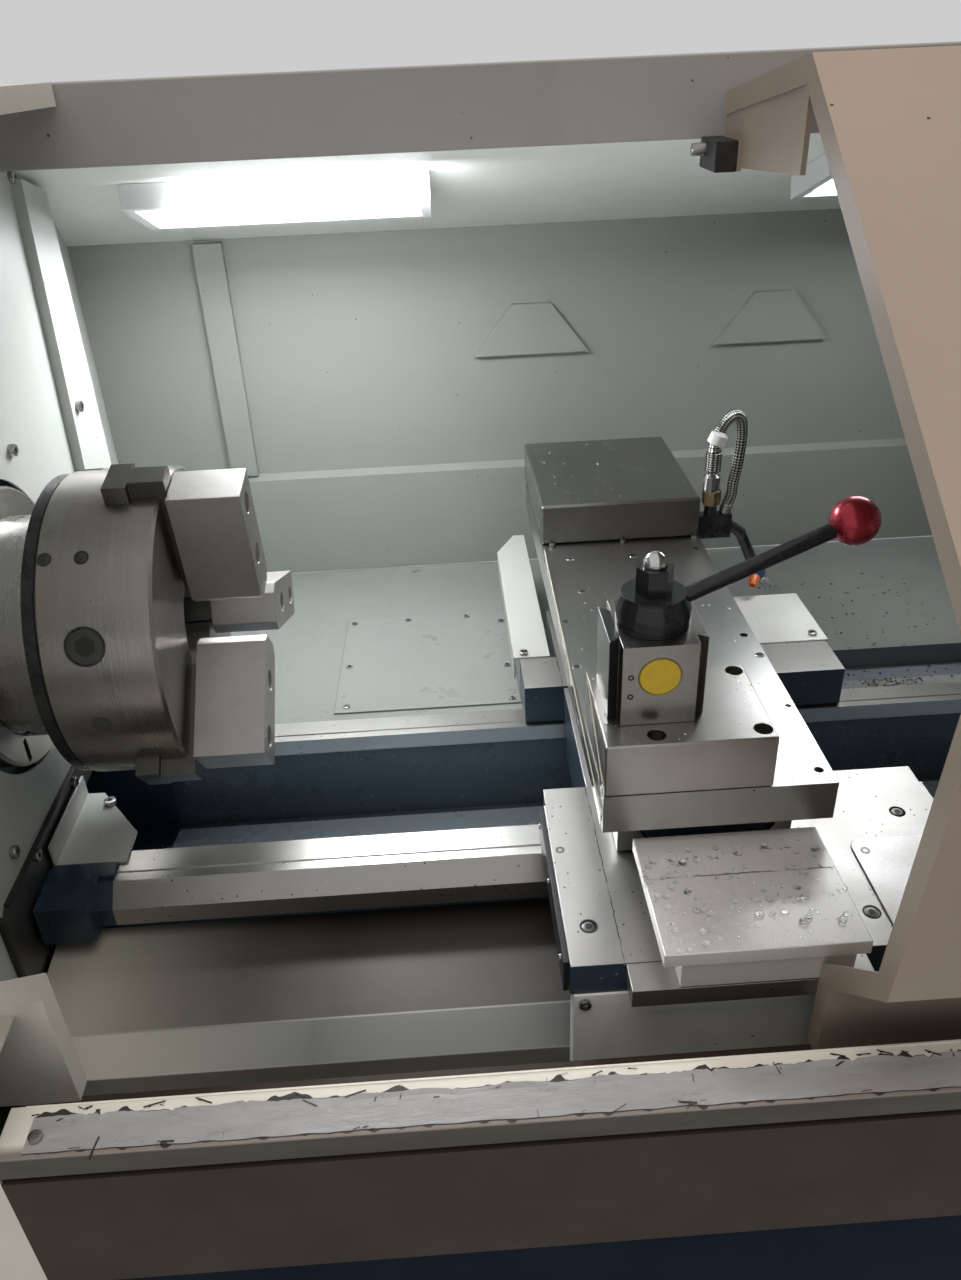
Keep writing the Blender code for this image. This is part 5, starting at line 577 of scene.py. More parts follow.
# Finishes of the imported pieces, each with the pieces that have it
FINISHES = (
    # Painted light and shade: the enclosure's one paint in copies of different lightness, darker on the rear
    # wall, lighter on the left wall, much lighter on the ceiling by the lamp.
    (painted("wall_paint", (0.255, 0.265, 0.243), 0.92, 0.40, (110, 0.012, 0.16)),
     "rear_wall cabinet cabinet_door"),
    (painted("side_wall_painted_light", (0.44, 0.455, 0.425), 0.92, 0.38, (110, 0.02, 0.16)), "left_wall console"),
    (painted("ceiling_painted_light", (0.78, 0.80, 0.76), 0.94, 0.40), "ceiling_panel"),
    # Painted light: the lamp cases made pale for the lamps' glare.
    (painted("lamp_case_painted_glare", (0.72, 0.73, 0.73), 0.94, 0.36), "lamp_left lamp_right"),
    (floor_finish(), "rear_floor"),
    (painted("beam_paint", (0.325, 0.312, 0.303), 0.92, 0.42, (120, 0.02, 0.2), dirt=0.25), "roof_beam"),
    (painted("door_paint", (0.385, 0.308, 0.248), 0.93, 0.40, (120, 0.01, 0.2), dirt=0.12), "door"),
    (painted("cover_paint", (0.82, 0.785, 0.71), 0.92, 0.42, (120, 0.01, 0.2), dirt=0.15),
     "left_cover right_cover"),
    # Painted shade: the front panel made dark brown where it lies in shadow, with smears of dirt.
    (painted("panel_painted_shade", (0.046, 0.034, 0.024), 0.80, 0.54, (120, 0.02, 0.2), dirt=0.35,
             dirt_colour=(0.07, 0.055, 0.04), gloss=0.25), "front_panel"),
    (painted("navy_paint", (0.010, 0.019, 0.034), 0.8, 0.60, (140, 0.02, 0.2), (0.03, 0.03, 0.03),
             gloss=0.03), "front_skirt left_pedestal right_pedestal coolant_tank"),
    (painted("casting_paint", (0.040, 0.075, 0.098), 0.8, 0.34, (140, 0.04, 0.2), (0.16, 0.17, 0.17)),
     "headstock tailstock"),
    (painted("left_way_cover", (0.40, 0.40, 0.37), 0.94, 0.38, (230, 0.05, 0.2), dirt=0.10),
     "way_end_angle saddle_cover_left"),
    (painted("pale_cover", (0.74, 0.74, 0.69), 0.94, 0.38, (230, 0.05, 0.2), dirt=0.10),
     "saddle_cover_right"),
    # Painted light: the apron made much paler than the wall paint, where the saddle's nose shades it.
    (painted("apron_painted_light", (0.84, 0.85, 0.79), 0.90, 0.40, (120, 0.03, 0.2), dirt=0.25), "apron"),
    (painted("service_plate_zinc", (0.215, 0.222, 0.209), 0.95, 0.32, (170, 0.05, 0.16)), "service_plate"),
    (steel_where("bed_finish", way_mask, (0.46, 0.448, 0.424), (0.050, 0.078, 0.098), (0.32, 0.28),
                 shade=bed_shade), "bed"),
    (steel_where("saddle_finish", top_mask, (0.47, 0.457, 0.435), (0.035, 0.058, 0.080),
                 (0.38, 0.32), joint=(0.3938, 0.0007)), "saddle"),
    (brushed("ground_steel", (0.46, 0.445, 0.425), (60, 2100, 2100), 0.30, depth=0.03, even=0.85),
     "riser_block ball_screw"),
    # Painted highlight: the front plate made near white for the lamp's glare; the seam is a dark joint.
    (brushed("plate_steel_painted_glare", (0.84, 0.825, 0.80), (1500, 90, 1500), 0.32, 0.10, metallic=0.42, even=0.7,
             seam=(-0.2545, 0.0011)), "front_plate"),
    (brushed("slide_steel", (0.40, 0.40, 0.388), (2100, 180, 2100), 0.30, 0.15, even=0.9, depth=0.02,
             speck=(150, 0.06, 0.16)), "cross_slide"),
    (brushed("box_steel", (0.345, 0.342, 0.332), (90, 2700, 2700), 0.25, 0.10, depth=0.02, even=0.92),
     "slide_box"),
    (brushed("end_steel", (0.22, 0.215, 0.21), (200, 200, 40), 0.40, 0.3), "bed_end_plate"),
    (guard_finish(), "screw_guard chip_tray"),
    (rail_finish(), "front_rail"),
    (brushed("jaw_steel", (0.43, 0.415, 0.395), (1500, 1500, 120), 0.42, 0.45, (0.25, 0.18, 0.13),
             even=0.5, metallic=0.9), "top_jaw_1 top_jaw_2 top_jaw_3"),
    (brushed("master_jaw_steel", (0.13, 0.127, 0.123), (1400, 60, 60), 0.30, 0.2, depth=0.5),
     "master_jaw_1 master_jaw_2 master_jaw_3"),
    (turned_steel("chuck_steel", (0.44, 0.42, 0.395)), "chuck_body nose_ring"),
    (turned_steel("spindle_steel", (0.50, 0.485, 0.465), 0.26, 0.15), "spindle quill"),
    (blackened("black_steel"), "chuck_plate pinion hose_bracket"),
    (blackened("gloss_black", (0.012, 0.013, 0.015), 0.13, (0.03, 0.03, 0.03)),
     "cam_nut handle_bar post_stud"),
    (post_finish(), "tool_post"),
    (RED_KNOB, "handle_knob"),
    (glossy("red_button", (0.50, 0.010, 0.012), 0.0, 0.30), "stop_button"),
    (lamp_glow(), "lamp_left_lens lamp_right_lens"),
    (clear("window_glass", (0.80, 0.86, 0.86)), "door_window"),
    (CHROME, "tail_wheel"),
)
ROUND_NODES = ("chuck_body chuck_plate nose_ring spindle pinion cam_nut handle_bar post_stud quill "
               "tail_wheel hose_bracket ball_screw tailstock stop_button cross_slide headstock")
ROUND_ANGLE = math.radians(32)
EDGED_NODES = (
    (0.0008, "top_jaw_1 top_jaw_2 top_jaw_3 front_plate master_jaw_1 master_jaw_2 master_jaw_3 "
             "tool_post saddle way_end_angle"),
    (0.0012, "front_rail door left_cover screw_guard roof_beam apron riser_block "
             "saddle_cover_left saddle_cover_right bed"),
)
EDGE_ANGLE = math.radians(40)
FLAT_ANGLE = math.radians(1.0)


def finish_cad_nodes():
    """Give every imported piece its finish, and break the sharp edges of the square ones."""
    for material, names in FINISHES:
        for name in names.split():
            give_material(NODES[name], material)
    for width, names in EDGED_NODES:
        for name in names.split():
            item = NODES[name]
            modify(item, "merge", "WELD", merge_threshold=MERGE)
            modify(item, "flat_faces", "DECIMATE", decimate_type="DISSOLVE", angle_limit=FLAT_ANGLE)
            modify(item, "broken_edge", "BEVEL", width=width, segments=2, limit_method="ANGLE",
                   angle_limit=EDGE_ANGLE)
    rounded = round_faces()
    for name in ROUND_NODES.split():
        modify(NODES[name], "round_faces", "NODES", node_group=rounded)


def give_material(item, material):
    """Make a material the only one of a piece."""
    item.data.materials.clear()
    item.data.materials.append(material)


def modify(item, name, kind, **settings):
    """Add a modifier with its settings."""
    modifier = item.modifiers.new(name, kind)
    for key, value in settings.items():
        setattr(modifier, key, value)
    return modifier


def round_faces():
    """Smooth shading on round faces, with the sharp edges kept."""
    group = bpy.data.node_groups.new("round_faces", "GeometryNodeTree")
    for side in ("INPUT", "OUTPUT"):
        group.interface.new_socket(name="Geometry", in_out=side, socket_type="NodeSocketGeometry")
    start, end = group.nodes.new("NodeGroupInput"), group.nodes.new("NodeGroupOutput")
    merge = group.nodes.new("GeometryNodeMergeByDistance")
    merge.inputs["Distance"].default_value = MERGE
    angle = group.nodes.new("GeometryNodeInputMeshEdgeAngle")
    soft = group.nodes.new("FunctionNodeCompare")
    soft.operation = "LESS_THAN"
    soft.inputs["B"].default_value = ROUND_ANGLE
    faces, edges = (group.nodes.new("GeometryNodeSetShadeSmooth") for _ in range(2))
    faces.domain, edges.domain = "FACE", "EDGE"
    wire = group.links.new
    wire(start.outputs[0], merge.inputs["Geometry"])
    wire(merge.outputs["Geometry"], faces.inputs["Geometry"])
    wire(faces.outputs["Geometry"], edges.inputs["Geometry"])
    wire(angle.outputs["Unsigned Angle"], soft.inputs["A"])
    wire(soft.outputs["Result"], edges.inputs["Shade Smooth"])
    wire(edges.outputs["Geometry"], end.inputs[0])
    return group


# Tools for the small parts

def deselect():
    """Leave nothing selected."""
    bpy.ops.object.select_all(action="DESELECT")


def take(item):
    """Make one piece the active and only selected one."""
    deselect()
    item.select_set(True)
    bpy.context.view_layer.objects.active = item


def settle(name):
    """Name the new piece and move its place into its mesh."""
    item = bpy.context.object
    item.name = name
    bpy.ops.object.transform_apply(location=True, rotation=True, scale=True)
    return item


def add_object(name, data):
    """Put a new object in the scene."""
    item = bpy.data.objects.new(name, data)
    bpy.context.scene.collection.objects.link(item)
    return item


def cylinder(name, radius, depth, foot=0.0, sides=24):
    """Round or cornered bar standing on its foot."""
    deselect()
    bpy.ops.mesh.primitive_cylinder_add(vertices=sides, radius=radius, depth=depth,
                                        location=(0, 0, foot + depth / 2))
    return settle(name)


def slab(name, low, high):
    """Block between two corners."""
    low, high = Vector(low), Vector(high)
    deselect()
    bpy.ops.mesh.primitive_cube_add(size=1, location=(low + high) / 2, scale=high - low)
    return settle(name)


def cut_ball(name, radius, segments, rings, level):
    """Ball with a flat where it is cut off below a level."""
    deselect()
    bpy.ops.mesh.primitive_uv_sphere_add(segments=segments, ring_count=rings, radius=radius)
    ball = settle(name)
    edit(ball)
    bpy.ops.mesh.select_all(action="SELECT")
    bpy.ops.mesh.bisect(plane_co=(0, 0, level), plane_no=(0, 0, 1), clear_inner=True, use_fill=True)
    done()
    return ball


def shape_with(item, kind, **settings):
    """Add a modifier with its settings and apply it."""
    modifier = modify(item, kind.lower(), kind, **settings)
    take(item)
    bpy.ops.object.modifier_apply(modifier=modifier.name)


def edit(item):
    """Open a piece for editing."""
    take(item)
    bpy.ops.object.mode_set(mode="EDIT")


def done():
    """Close the piece being edited."""
    bpy.ops.object.mode_set(mode="OBJECT")


def choose(item, kind, rule):
    """In edit mode, select the faces or edges that pass a rule on their middle and themselves."""
    bpy.ops.mesh.select_mode(type=kind)
    bpy.ops.mesh.select_all(action="DESELECT")
    work = bmesh.from_edit_mesh(item.data)
    for part in (work.faces if kind == "FACE" else work.edges):
        middle = sum((point.co for point in part.verts), Vector()) / len(part.verts)
        if rule(middle, part):
            part.select_set(True)
    bmesh.update_edit_mesh(item.data)


def looks_up(middle, face):
    """Rule for faces that look up."""
    return face.normal.z > HALF


def lies_level(middle, edge):
    """Rule for edges that lie level."""
    return abs(edge.verts[0].co.z - edge.verts[1].co.z) < HAIR


def above(level):
    """Rule for edges that are wholly above a level."""
    return lambda middle, edge: all(point.co.z > level for point in edge.verts)


def bevel(item, rule, offset, segments):
    """Break the edges that pass a rule."""
    edit(item)
    choose(item, "EDGE", rule)
    bpy.ops.mesh.bevel(offset=offset, segments=segments)
    done()


def sink(*steps):
    """Inset the chosen faces and lower them, by each pair of an inset and a drop in turn."""
    for thickness, drop in steps:
        bpy.ops.mesh.inset(thickness=thickness)
        if drop:
            bpy.ops.mesh.extrude_region_move(TRANSFORM_OT_translate={"value": (0, 0, -drop)})


def sunk_top(item, *steps):
    """Step the top of a piece down, by each pair of an inset and a drop in turn."""
    edit(item)
    choose(item, "FACE", looks_up)
    sink(*steps)
    done()
    return item


def smooth(item, angle=40):
    """Smooth shading up to an angle."""
    take(item)
    bpy.ops.object.shade_smooth_by_angle(angle=math.radians(angle))
    return item


def bored(item, radius, depth, foot, sides):
    """Cut a round or hexagon hole along a piece's axis, and smooth the piece."""
    cutter = cylinder("bore", radius, depth, foot, sides)
    shape_with(item, "BOOLEAN", operation="DIFFERENCE", object=cutter, solver="EXACT")
    bpy.data.objects.remove(cutter)
    return smooth(item)


def keep(item, material, body, slot):
    """Give a finished piece its material and body; its slot is not used."""
    give_material(item, material)
    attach(item, body)


def standing(point, normal=UP, turn=0.0, size=1.0):
    """Matrix that stands a piece on a point along a normal."""
    lean = Vector(normal).to_track_quat("Z", "Y").to_matrix().to_4x4()
    return Matrix.Translation(point) @ lean @ Matrix.Rotation(turn, 4, "Z") @ Matrix.Scale(size, 4)


def stand(item, point, normal, material, body, slot):
    """Stand a finished piece on a point along a normal, and keep it."""
    item.data.transform(standing(point, normal))
    keep(item, material, body, slot)


def spread(name, template, matrices, material, body, slot):
    """Copies of a template at many places, joined as one piece."""
    work = bmesh.new()
    for matrix in matrices:
        copy = template.data.copy()
        copy.transform(matrix)
        work.from_mesh(copy)
        bpy.data.meshes.remove(copy)
    mesh = bpy.data.meshes.new(name)
    work.to_mesh(mesh)
    work.free()
    item = add_object(name, mesh)
    bpy.data.objects.remove(template)
    keep(item, material, body, slot)


def met(names, x, y, z, direction):
    """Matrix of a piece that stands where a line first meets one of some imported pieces."""
    start = place(x, y, z)
    hits = []
    for name in names.split():
        found, point, normal, _ = NODES[name].ray_cast(start, direction)
        if found:
            hits.append(((point - start).length, point, normal))
    _, point, normal = min(hits, key=lambda hit: hit[0])
    return standing(point, normal)


def cap_screw(radius, height, socket=0.5):
    """Socket head cap screw standing on its seat."""
    screw = cylinder("cap_screw", radius, height)
    bevel(screw, above(height - HAIR), radius * 0.14, 2)
    return bored(screw, radius * socket, height, height * 0.4, 6)


def sunk_screw(radius, rise=0.0007):
    """Set screw in its counterbore: a raised lip round a hexagon socket."""
    screw = cylinder("sunk_screw", radius, rise * 3, -rise * 2)
    return smooth(sunk_top(screw, (radius * 0.22, rise * 0.6), (radius * 0.30, rise)))


def hex_socket(radius, height):
    """Dark hexagon that stands for the bottom of a socket, as painted shade."""
    return sunk_top(cylinder("hex_socket", radius, height, 0, 6), (radius * 0.2, height * 0.3))


def ring(outer, inner, height):
    """Flat ring with a broken outer edge, standing on its foot."""
    item = cylinder("ring", outer, height, 0, 32)
    bevel(item, above(height - HAIR / 4), height * 0.3, 1)
    return bored(item, inner, height * 3, -height, 32)


def droplet():
    """Dome of liquid of unit radius, flat below."""
    drop = cut_ball("drop", 1, 10, 6, 0.05)
    edit(drop)
    bpy.ops.mesh.select_all(action="SELECT")
    bpy.ops.transform.resize(value=(1, 1, 0.45))
    done()
    return smooth(drop, 60)


def curl():
    """Short curled chip of unit length."""
    deselect()
    bpy.ops.mesh.primitive_plane_add(size=1, location=(0, 0, 0.30))
    chip = settle("chip")
    edit(chip)
    choose(chip, "EDGE", lambda middle, edge: middle.x > 0.4)
    bpy.ops.mesh.spin(steps=5, angle=math.radians(200), center=(0.5, 0, 0.0), axis=(0, 1, 0))
    done()
    shape_with(chip, "SOLIDIFY", thickness=0.08, offset=0.0)
    return chip


def scatter(node_name, area, count, top, seed, shaped):
    """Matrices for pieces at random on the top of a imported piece."""
    chance = random.Random(seed)
    matrices = []
    while len(matrices) < count:
        start = place(chance.uniform(*area[:2]), chance.uniform(*area[2:]), top)
        found, point, normal, _ = NODES[node_name].ray_cast(start, DOWN)
        if found and normal.z >= HALF:
            matrices.append(shaped(chance, point, normal))
    return matrices


def drops_on(name, node_name, area, count, small, large, body, seed):
    """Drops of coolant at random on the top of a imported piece."""
    def drop(chance, point, normal):
        size = small + (large - small) * chance.random() ** 4
        matrix = standing(point, normal, chance.uniform(0, math.tau), size)
        return matrix @ Matrix.Diagonal((1, chance.uniform(0.6, 1.0), 1, 1))

    spread(name, droplet(), scatter(node_name, area, count, 0.3, seed, drop), WATER, body, "glass")


def chips_on(name, area, count, size, seed):
    """Chips at random on the rear floor."""
    def chip(chance, point, normal):
        scale = size * chance.uniform(0.4, 1.3)
        lean = Matrix.Rotation(chance.uniform(-1.2, 1.2), 4, "X")
        matrix = standing(point, normal, chance.uniform(0, math.tau), scale) @ lean
        return matrix @ Matrix.Diagonal((1, chance.uniform(0.25, 0.7), 1, 1))

    spread(name, curl(), scatter("rear_floor", area, count, -0.12, seed, chip), CHIP_STEEL, "machine",
           "stainless")


# Pieces on the machine

def on_rim(x, angle, radius):
    """Matrix of a piece that stands on the chuck's rim."""
    side = across(angle)
    return standing(place(x, 0, 0) + side * radius, side)


def make_chuck_details():
    """Screws and plugs on the chuck's rim, the pinion's collar and the jaws' bolts."""
    screws, plugs = [], []
    for turn in (0, 120, 240):
        screws += [on_rim(x, RIM_SCREW_ANGLE + turn, CHUCK_RADIUS) for x in RIM_SCREW_X]
        plugs.append(on_rim(RIM_PLUG_X, RIM_PLUG_ANGLE + turn, CHUCK_RADIUS))
    # Painted shade: black rings in the counterbores and black hexagons in the sockets.
    for name, template, seats, material, slot in (
            ("rim_counterbores", ring(RIM_SCREW_RADIUS, RIM_SCREW_RADIUS * 0.74, 0.0005), screws, BLACK_RUBBER_AND_SHADE,
             "black"),
            ("rim_screws", cap_screw(RIM_SCREW_RADIUS * 0.72, 0.0004, 0.55), screws, DARK_COLLAR,
             "ground_steel"),
            ("rim_sockets", hex_socket(RIM_SCREW_RADIUS * 0.42, 0.0005), screws, BLACK_RUBBER_AND_SHADE, "black"),
            ("rim_plugs", sunk_screw(RIM_PLUG_RADIUS, 0.0002), plugs, PLUG_STEEL, "ground_steel")):
        spread(name, template, seats, material, "spindle_unit", slot)
    make_pinion_collar()
    head = place(JAW_FRONT_X - JAW_BOLT_SUNK - JAW_BOLT_HEAD, 0, 0)
    for index, angle in enumerate(JAW_ANGLES, 1):
        seats = [standing(head + across(angle) * reach, RIGHT) for reach in JAW_BOLTS]
        spread("jaw_%d_bolts" % index, cap_screw(JAW_BOLT_RADIUS, JAW_BOLT_HEAD), seats, DARK_SCREW,
               "jaw_%d" % index, "ground_steel")


def make_pinion_collar():
    """Grey collar round the key socket of the front pinion."""
    collar = cylinder("pinion_collar", PINION_RADIUS * 0.86, 0.0010, -0.0002, 48)
    sunk_top(collar, (PINION_RADIUS * 0.12, 0.0005), (PINION_RADIUS * 0.10, 0))
    bored(collar, PINION_RADIUS * 0.52, 0.02, -0.01, 6)
    collar.data.transform(on_rim(PINION_X, PINION_ANGLE, PINION_FACE_RADIUS))
    keep(collar, DARK_COLLAR, "pinion_key", "black")
    # Painted shade: black hexagon at the bottom of the key socket.
    bottom = on_rim(PINION_X, PINION_ANGLE, PINION_FACE_RADIUS - HAIR / 2)
    spread("pinion_socket", hex_socket(PINION_RADIUS * 0.54, 0.0006), [bottom], BLACK_RUBBER_AND_SHADE, "pinion_key", "black")


def make_sheet_screws():
    """Screws on the inner wall, the bed's end plate, the way's end angle and the service plate."""
    wall = ((0.2937, 0.3885), (0.2886, 0.1385), (0.105, 0.1509), (-0.146, -0.1721), (0.0225, -0.2202),
            (-0.1053, -0.2139))
    seats = [met("left_wall bed_end_plate", 0, y, z, LEFT) for y, z in wall]
    seats.append(met("way_end_angle", -0.150, 0.018, -0.1, DOWN))
    spread("wall_screws", cap_screw(0.0068, 0.006), seats, SCREW_STEEL, "machine", "stainless")
    plate = ((0.1066, 0.466), (0.191, 0.4675), (0.283, 0.469), (0.336, 0.445), (0.108, 0.3227),
             (0.335, 0.299), (0.1117, 0.2086), (0.335, 0.205))
    seats = [met("service_plate", x, y, 0, DOWN) for x, y in plate]
    spread("floor_screws", cap_screw(0.0045, 0.0022), seats, SCREW_STEEL, "machine", "stainless")


def make_saddle_screws():
    """Screws and plugs of the saddle's wings, covers and apron."""
    left, right, rear = (0.3685, -0.263), (0.6281, -0.2689), (0.707, -0.137)
    rims = [standing(place(*spot, WING_TOP_Z)) for spot in (left, right)]
    # Painted shade: black rings in the counterbores' gaps.
    spread("saddle_counterbores", ring(0.0083, 0.0066, 0.0004), rims, BLACK_RUBBER_AND_SHADE, "carriage", "black")
    seats = [standing(place(*spot, WING_TOP_Z - sunk))
             for spot, sunk in ((left, 0.0024), (rear, 0.0024), (right, 0.0021))]
    spread("saddle_screws", cap_screw(0.0064, 0.0024), seats, COLLAR_STEEL, "carriage", "ground_steel")
    # Painted shade: black hexagons in the screws' sockets.
    sockets = [matrix @ Matrix.Translation((0, 0, 0.0021)) for matrix in seats]
    spread("saddle_sockets", hex_socket(0.0034, 0.0005), sockets, BLACK_RUBBER_AND_SHADE, "carriage", "black")
    small = [standing(place(0.3547, -0.1609, WING_TOP_Z)), standing(place(0.6517, -0.192, COVER_TOP_Z))]
    spread("cover_plugs", sunk_screw(0.0046, 0.0003), small, COLLAR_STEEL, "carriage", "ground_steel")
    seats = [met("saddle_cover_right", 0.738, 0.214, 0, DOWN),
             met("saddle_cover_left", 0.352, 0.2085, 0, DOWN),
             met("apron", 0.359, -0.5, -0.2487, BACK)]
    spread("cover_screws", cap_screw(0.0056, 0.0045), seats, SCREW_STEEL, "carriage", "stainless")


def make_wing_cover():
    """Thin cover plate with a round corner on the right wing, and the strip beside the left wing."""
    low, high = place(0.640, -0.302, WING_TOP_Z + HAIR), place(0.748, -0.175, COVER_TOP_Z)
    plate = slab("wing_cover", low, high)
    bevel(plate, lambda middle, edge: middle.x < low.x + HAIR and middle.y > high.y - HAIR
          and not lies_level(middle, edge), 0.012, 6)
    bevel(plate, above(high.z - HAIR), 0.0004, 1)
    keep(plate, PALE_STEEL, "carriage", "ground_steel")
    foot = place(0.3405, -0.300, -0.243)
    wiper = slab("way_wiper", foot, place(0.3455, -0.098, -0.206))
    bevel(wiper, lambda middle, edge: middle.x < foot.x + HAIR, 0.0012, 2)
    keep(wiper, BLACK_RUBBER_AND_SHADE, "carriage", "black")
    seats = [standing(place(0.3407, y, -0.216), LEFT) for y in (-0.110, -0.190, -0.285)]
    spread("wiper_screws", cap_screw(0.0032, 0.0022), seats, SCREW_STEEL, "carriage", "stainless")


def make_slide_screws():
    """Rims and dark hexagons in the slide's holes, the hexagons as painted shade, screws at the foot of the
    box, and the post's set screws.
    """
    spots = ((0.4219, 0.2805), (0.5059, 0.2785), (0.3953, 0.114), (0.3946, 0.014), (0.425, 0.187),
             (0.598, 0.0156), (0.5975, -0.084))
    small = [standing(place(*spot, SLIDE_TOP_Z - HAIR)) for spot in spots]
    spread("slide_hole_rims", ring(0.0052, 0.0036, 0.0008), small, CHROME, "slide", "stainless")
    # Painted shade: black hexagons in the holes.
    spread("slide_hole_shade", hex_socket(0.0037, 0.0005), small, BLACK_RUBBER_AND_SHADE, "slide", "black")
    seats = [standing(place(x, 0.3215, SLIDE_TOP_Z)) for x in (0.403, 0.500, 0.598)]
    spread("box_screws", cap_screw(0.0042, 0.0048), seats, SCREW_STEEL, "slide", "stainless")
    seats = [standing(place(0.415, POST_FACE_Y, z), FORWARD) for z in (-0.0119, 0.0083)]
    spread("post_set_screws", sunk_screw(0.0028, 0.0003), seats, DARK_SCREW, "slide", "black")


def make_post_details():
    """Plain yellow disc on the tool post, round knob with a flat at its bar, ball in the stud."""
    disc = cylinder("yellow_disc", BADGE_RADIUS, 0.0009, -0.0006, 64)
    sunk_top(disc, (BADGE_RADIUS * 0.05, 0.0001))
    stand(disc, place(BADGE_X, POST_FACE_Y, BADGE_Z), FORWARD, BADGE, "slide", "white")
    knob = smooth(cut_ball("red_knob", KNOB_RADIUS, 48, 32, -KNOB_RADIUS * 0.93), 50)
    stand(knob, DATUM + KNOB, (KNOB - BAR_END).normalized(), RED_KNOB, "clamp_handle", "red")
    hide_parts("handle_knob")
    ball = smooth(cut_ball("stud_ball", 0.0109, 32, 20, -0.002), 60)
    stand(ball, place(POST_X, POST_Y, STUD_BALL_Z), UP, CHROME, "slide", "chrome")


def make_hose():
    """Braided coolant hose from its fitting back to the bracket."""
    points = [place(*point) for point in HOSE_POINTS]
    data = bpy.data.curves.new("braided_hose", "CURVE")
    data.dimensions = "3D"
    data.resolution_u = 10
    data.bevel_depth = HOSE_RADIUS
    data.bevel_resolution = 6
    data.use_fill_caps = True
    line = data.splines.new("BEZIER")
    line.bezier_points.add(len(points) - 1)
    for knot, point in zip(line.bezier_points, points):
        knot.co = point
        knot.handle_left_type = knot.handle_right_type = "AUTO"
    hose = add_object("braided_hose", data)
    data.materials.append(BRAID)
    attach(hose, "slide")
    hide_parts("coolant_hose")
    make_hose_fittings(points)
    make_nozzle()


def make_hose_fittings(points):
    """Band, sleeve, ferrules and nut of the hose."""
    inside = HOSE_RADIUS * 0.95
    band = ring(SLEEVE_RADIUS * 1.08, inside, 0.019)
    band.name = "hose_band"
    stand(band, points[3] + (points[4] - points[3]) * 0.45, points[5] - points[4], WHITE_BAND, "slide",
          "white")
    nut = cylinder("hose_nut", 0.0132, 0.021, 0, 6)
    bevel(nut, lies_level, 0.0009, 2)
    for name, template, point, lean, material in (
            ("hose_ferrule", ring(SLEEVE_RADIUS, inside, 0.030), place(*SLEEVE_AXIS, -0.0400), UP,
             SCREW_STEEL),
            ("hose_sleeve", ring(SLEEVE_RADIUS * 0.98, inside, 0.036), place(*SLEEVE_AXIS, -0.0102), UP,
             SLEEVE_BRAID),
            ("hose_end_ferrule", ring(HOSE_RADIUS * 1.12, HOSE_RADIUS * 0.9, 0.016),
             points[-1] + Vector((0, 0, 0.0004)), points[-3] - points[-1], SCREW_STEEL),
            ("hose_nut", nut, place(0.624, 0.345, -0.0595), UP, BRASS)):
        spread(name, template, [standing(point, lean)], material, "slide", "stainless")


def make_nozzle():
    """Jointed plastic nozzle on the spout: blue ball, orange tip and clear valve."""
    joint = smooth(cut_ball("nozzle_joint", 0.0122, 28, 18, -0.0088), 60)
    stand(joint, place(0.699, 0.345, -0.169), UP, BLUE, "slide", "black")
    tip = cylinder("nozzle_tip", 0.0085, 0.017, 0.008)
    edit(tip)
    choose(tip, "FACE", looks_up)
    bpy.ops.transform.resize(value=(0.55, 0.55, 1))
    sink((0.0016, 0.006))
    done()
    bevel(tip, lambda middle, edge: all(point.co.z < 0.0081 for point in edge.verts), 0.0012, 2)
    stand(smooth(tip), place(0.697, 0.343, -0.171), (-0.35, -0.75, -0.25), ORANGE, "slide", "red")
    valve = cylinder("nozzle_valve", 0.0062, 0.020, 0.009, 20)
    bevel(valve, lies_level, 0.0016, 3)
    stand(smooth(valve), place(0.700, 0.344, -0.172), (0.75, -0.1, -0.85), CLEAR_PLASTIC, "slide", "glass")


def make_runner():
    """Black sliding block on the door's runner, with its grey peg."""
    low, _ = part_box("door")
    rear, middle_z = DATUM.y + RUNNER_REAR_Y, DATUM.z + RUNNER_Z
    cap = slab("door_runner_block", (low.x - 0.0006, rear - 0.0586, middle_z - 0.0136),
               (low.x + 0.0212, rear - 0.0004, middle_z + 0.0136))
    bevel(cap, lambda middle, edge: True, 0.0015, 2)
    keep(cap, BLACK_RUBBER_AND_SHADE, "door_unit", "black")
    peg = cylinder("door_runner_peg", 0.0058, 0.016, -0.002, 20)
    bevel(peg, above(0.0139), 0.0012, 2)
    stand(smooth(peg), Vector((low.x, rear - 0.020, middle_z + 0.004)), LEFT, SCREW_STEEL, "door_unit",
          "stainless")


def make_slide_strips():
    """Clear wiper strips along the slide's left side, each with a cream top edge."""
    for name, rear, front, foot in (("slide_strip", (0.269, -0.078), (-0.2075, -0.119), 0.016),
                                    ("riser_strip", (-0.106, -0.029), (-0.2075, -0.080), 0.015)):
        for part, material, left, depth, slot in (("", CLEAR_PLASTIC, 0.3863, foot, "glass"),
                                                  ("_edge", CREAM_STRIP, 0.3860, 0.0014, "white")):
            low = place(left, front[0], rear[1] - depth)
            strip = slab(name + part, low, place(0.3872, *rear))
            edit(strip)
            choose(strip, "EDGE", lambda middle, edge: middle.y < low.y + HAIR)
            bpy.ops.transform.translate(value=(0, 0, front[1] - rear[1]))
            done()
            bevel(strip, lambda middle, edge: middle.x < low.x + HAIR / 4, 0.0003, 1)
            keep(strip, material, "slide", slot)


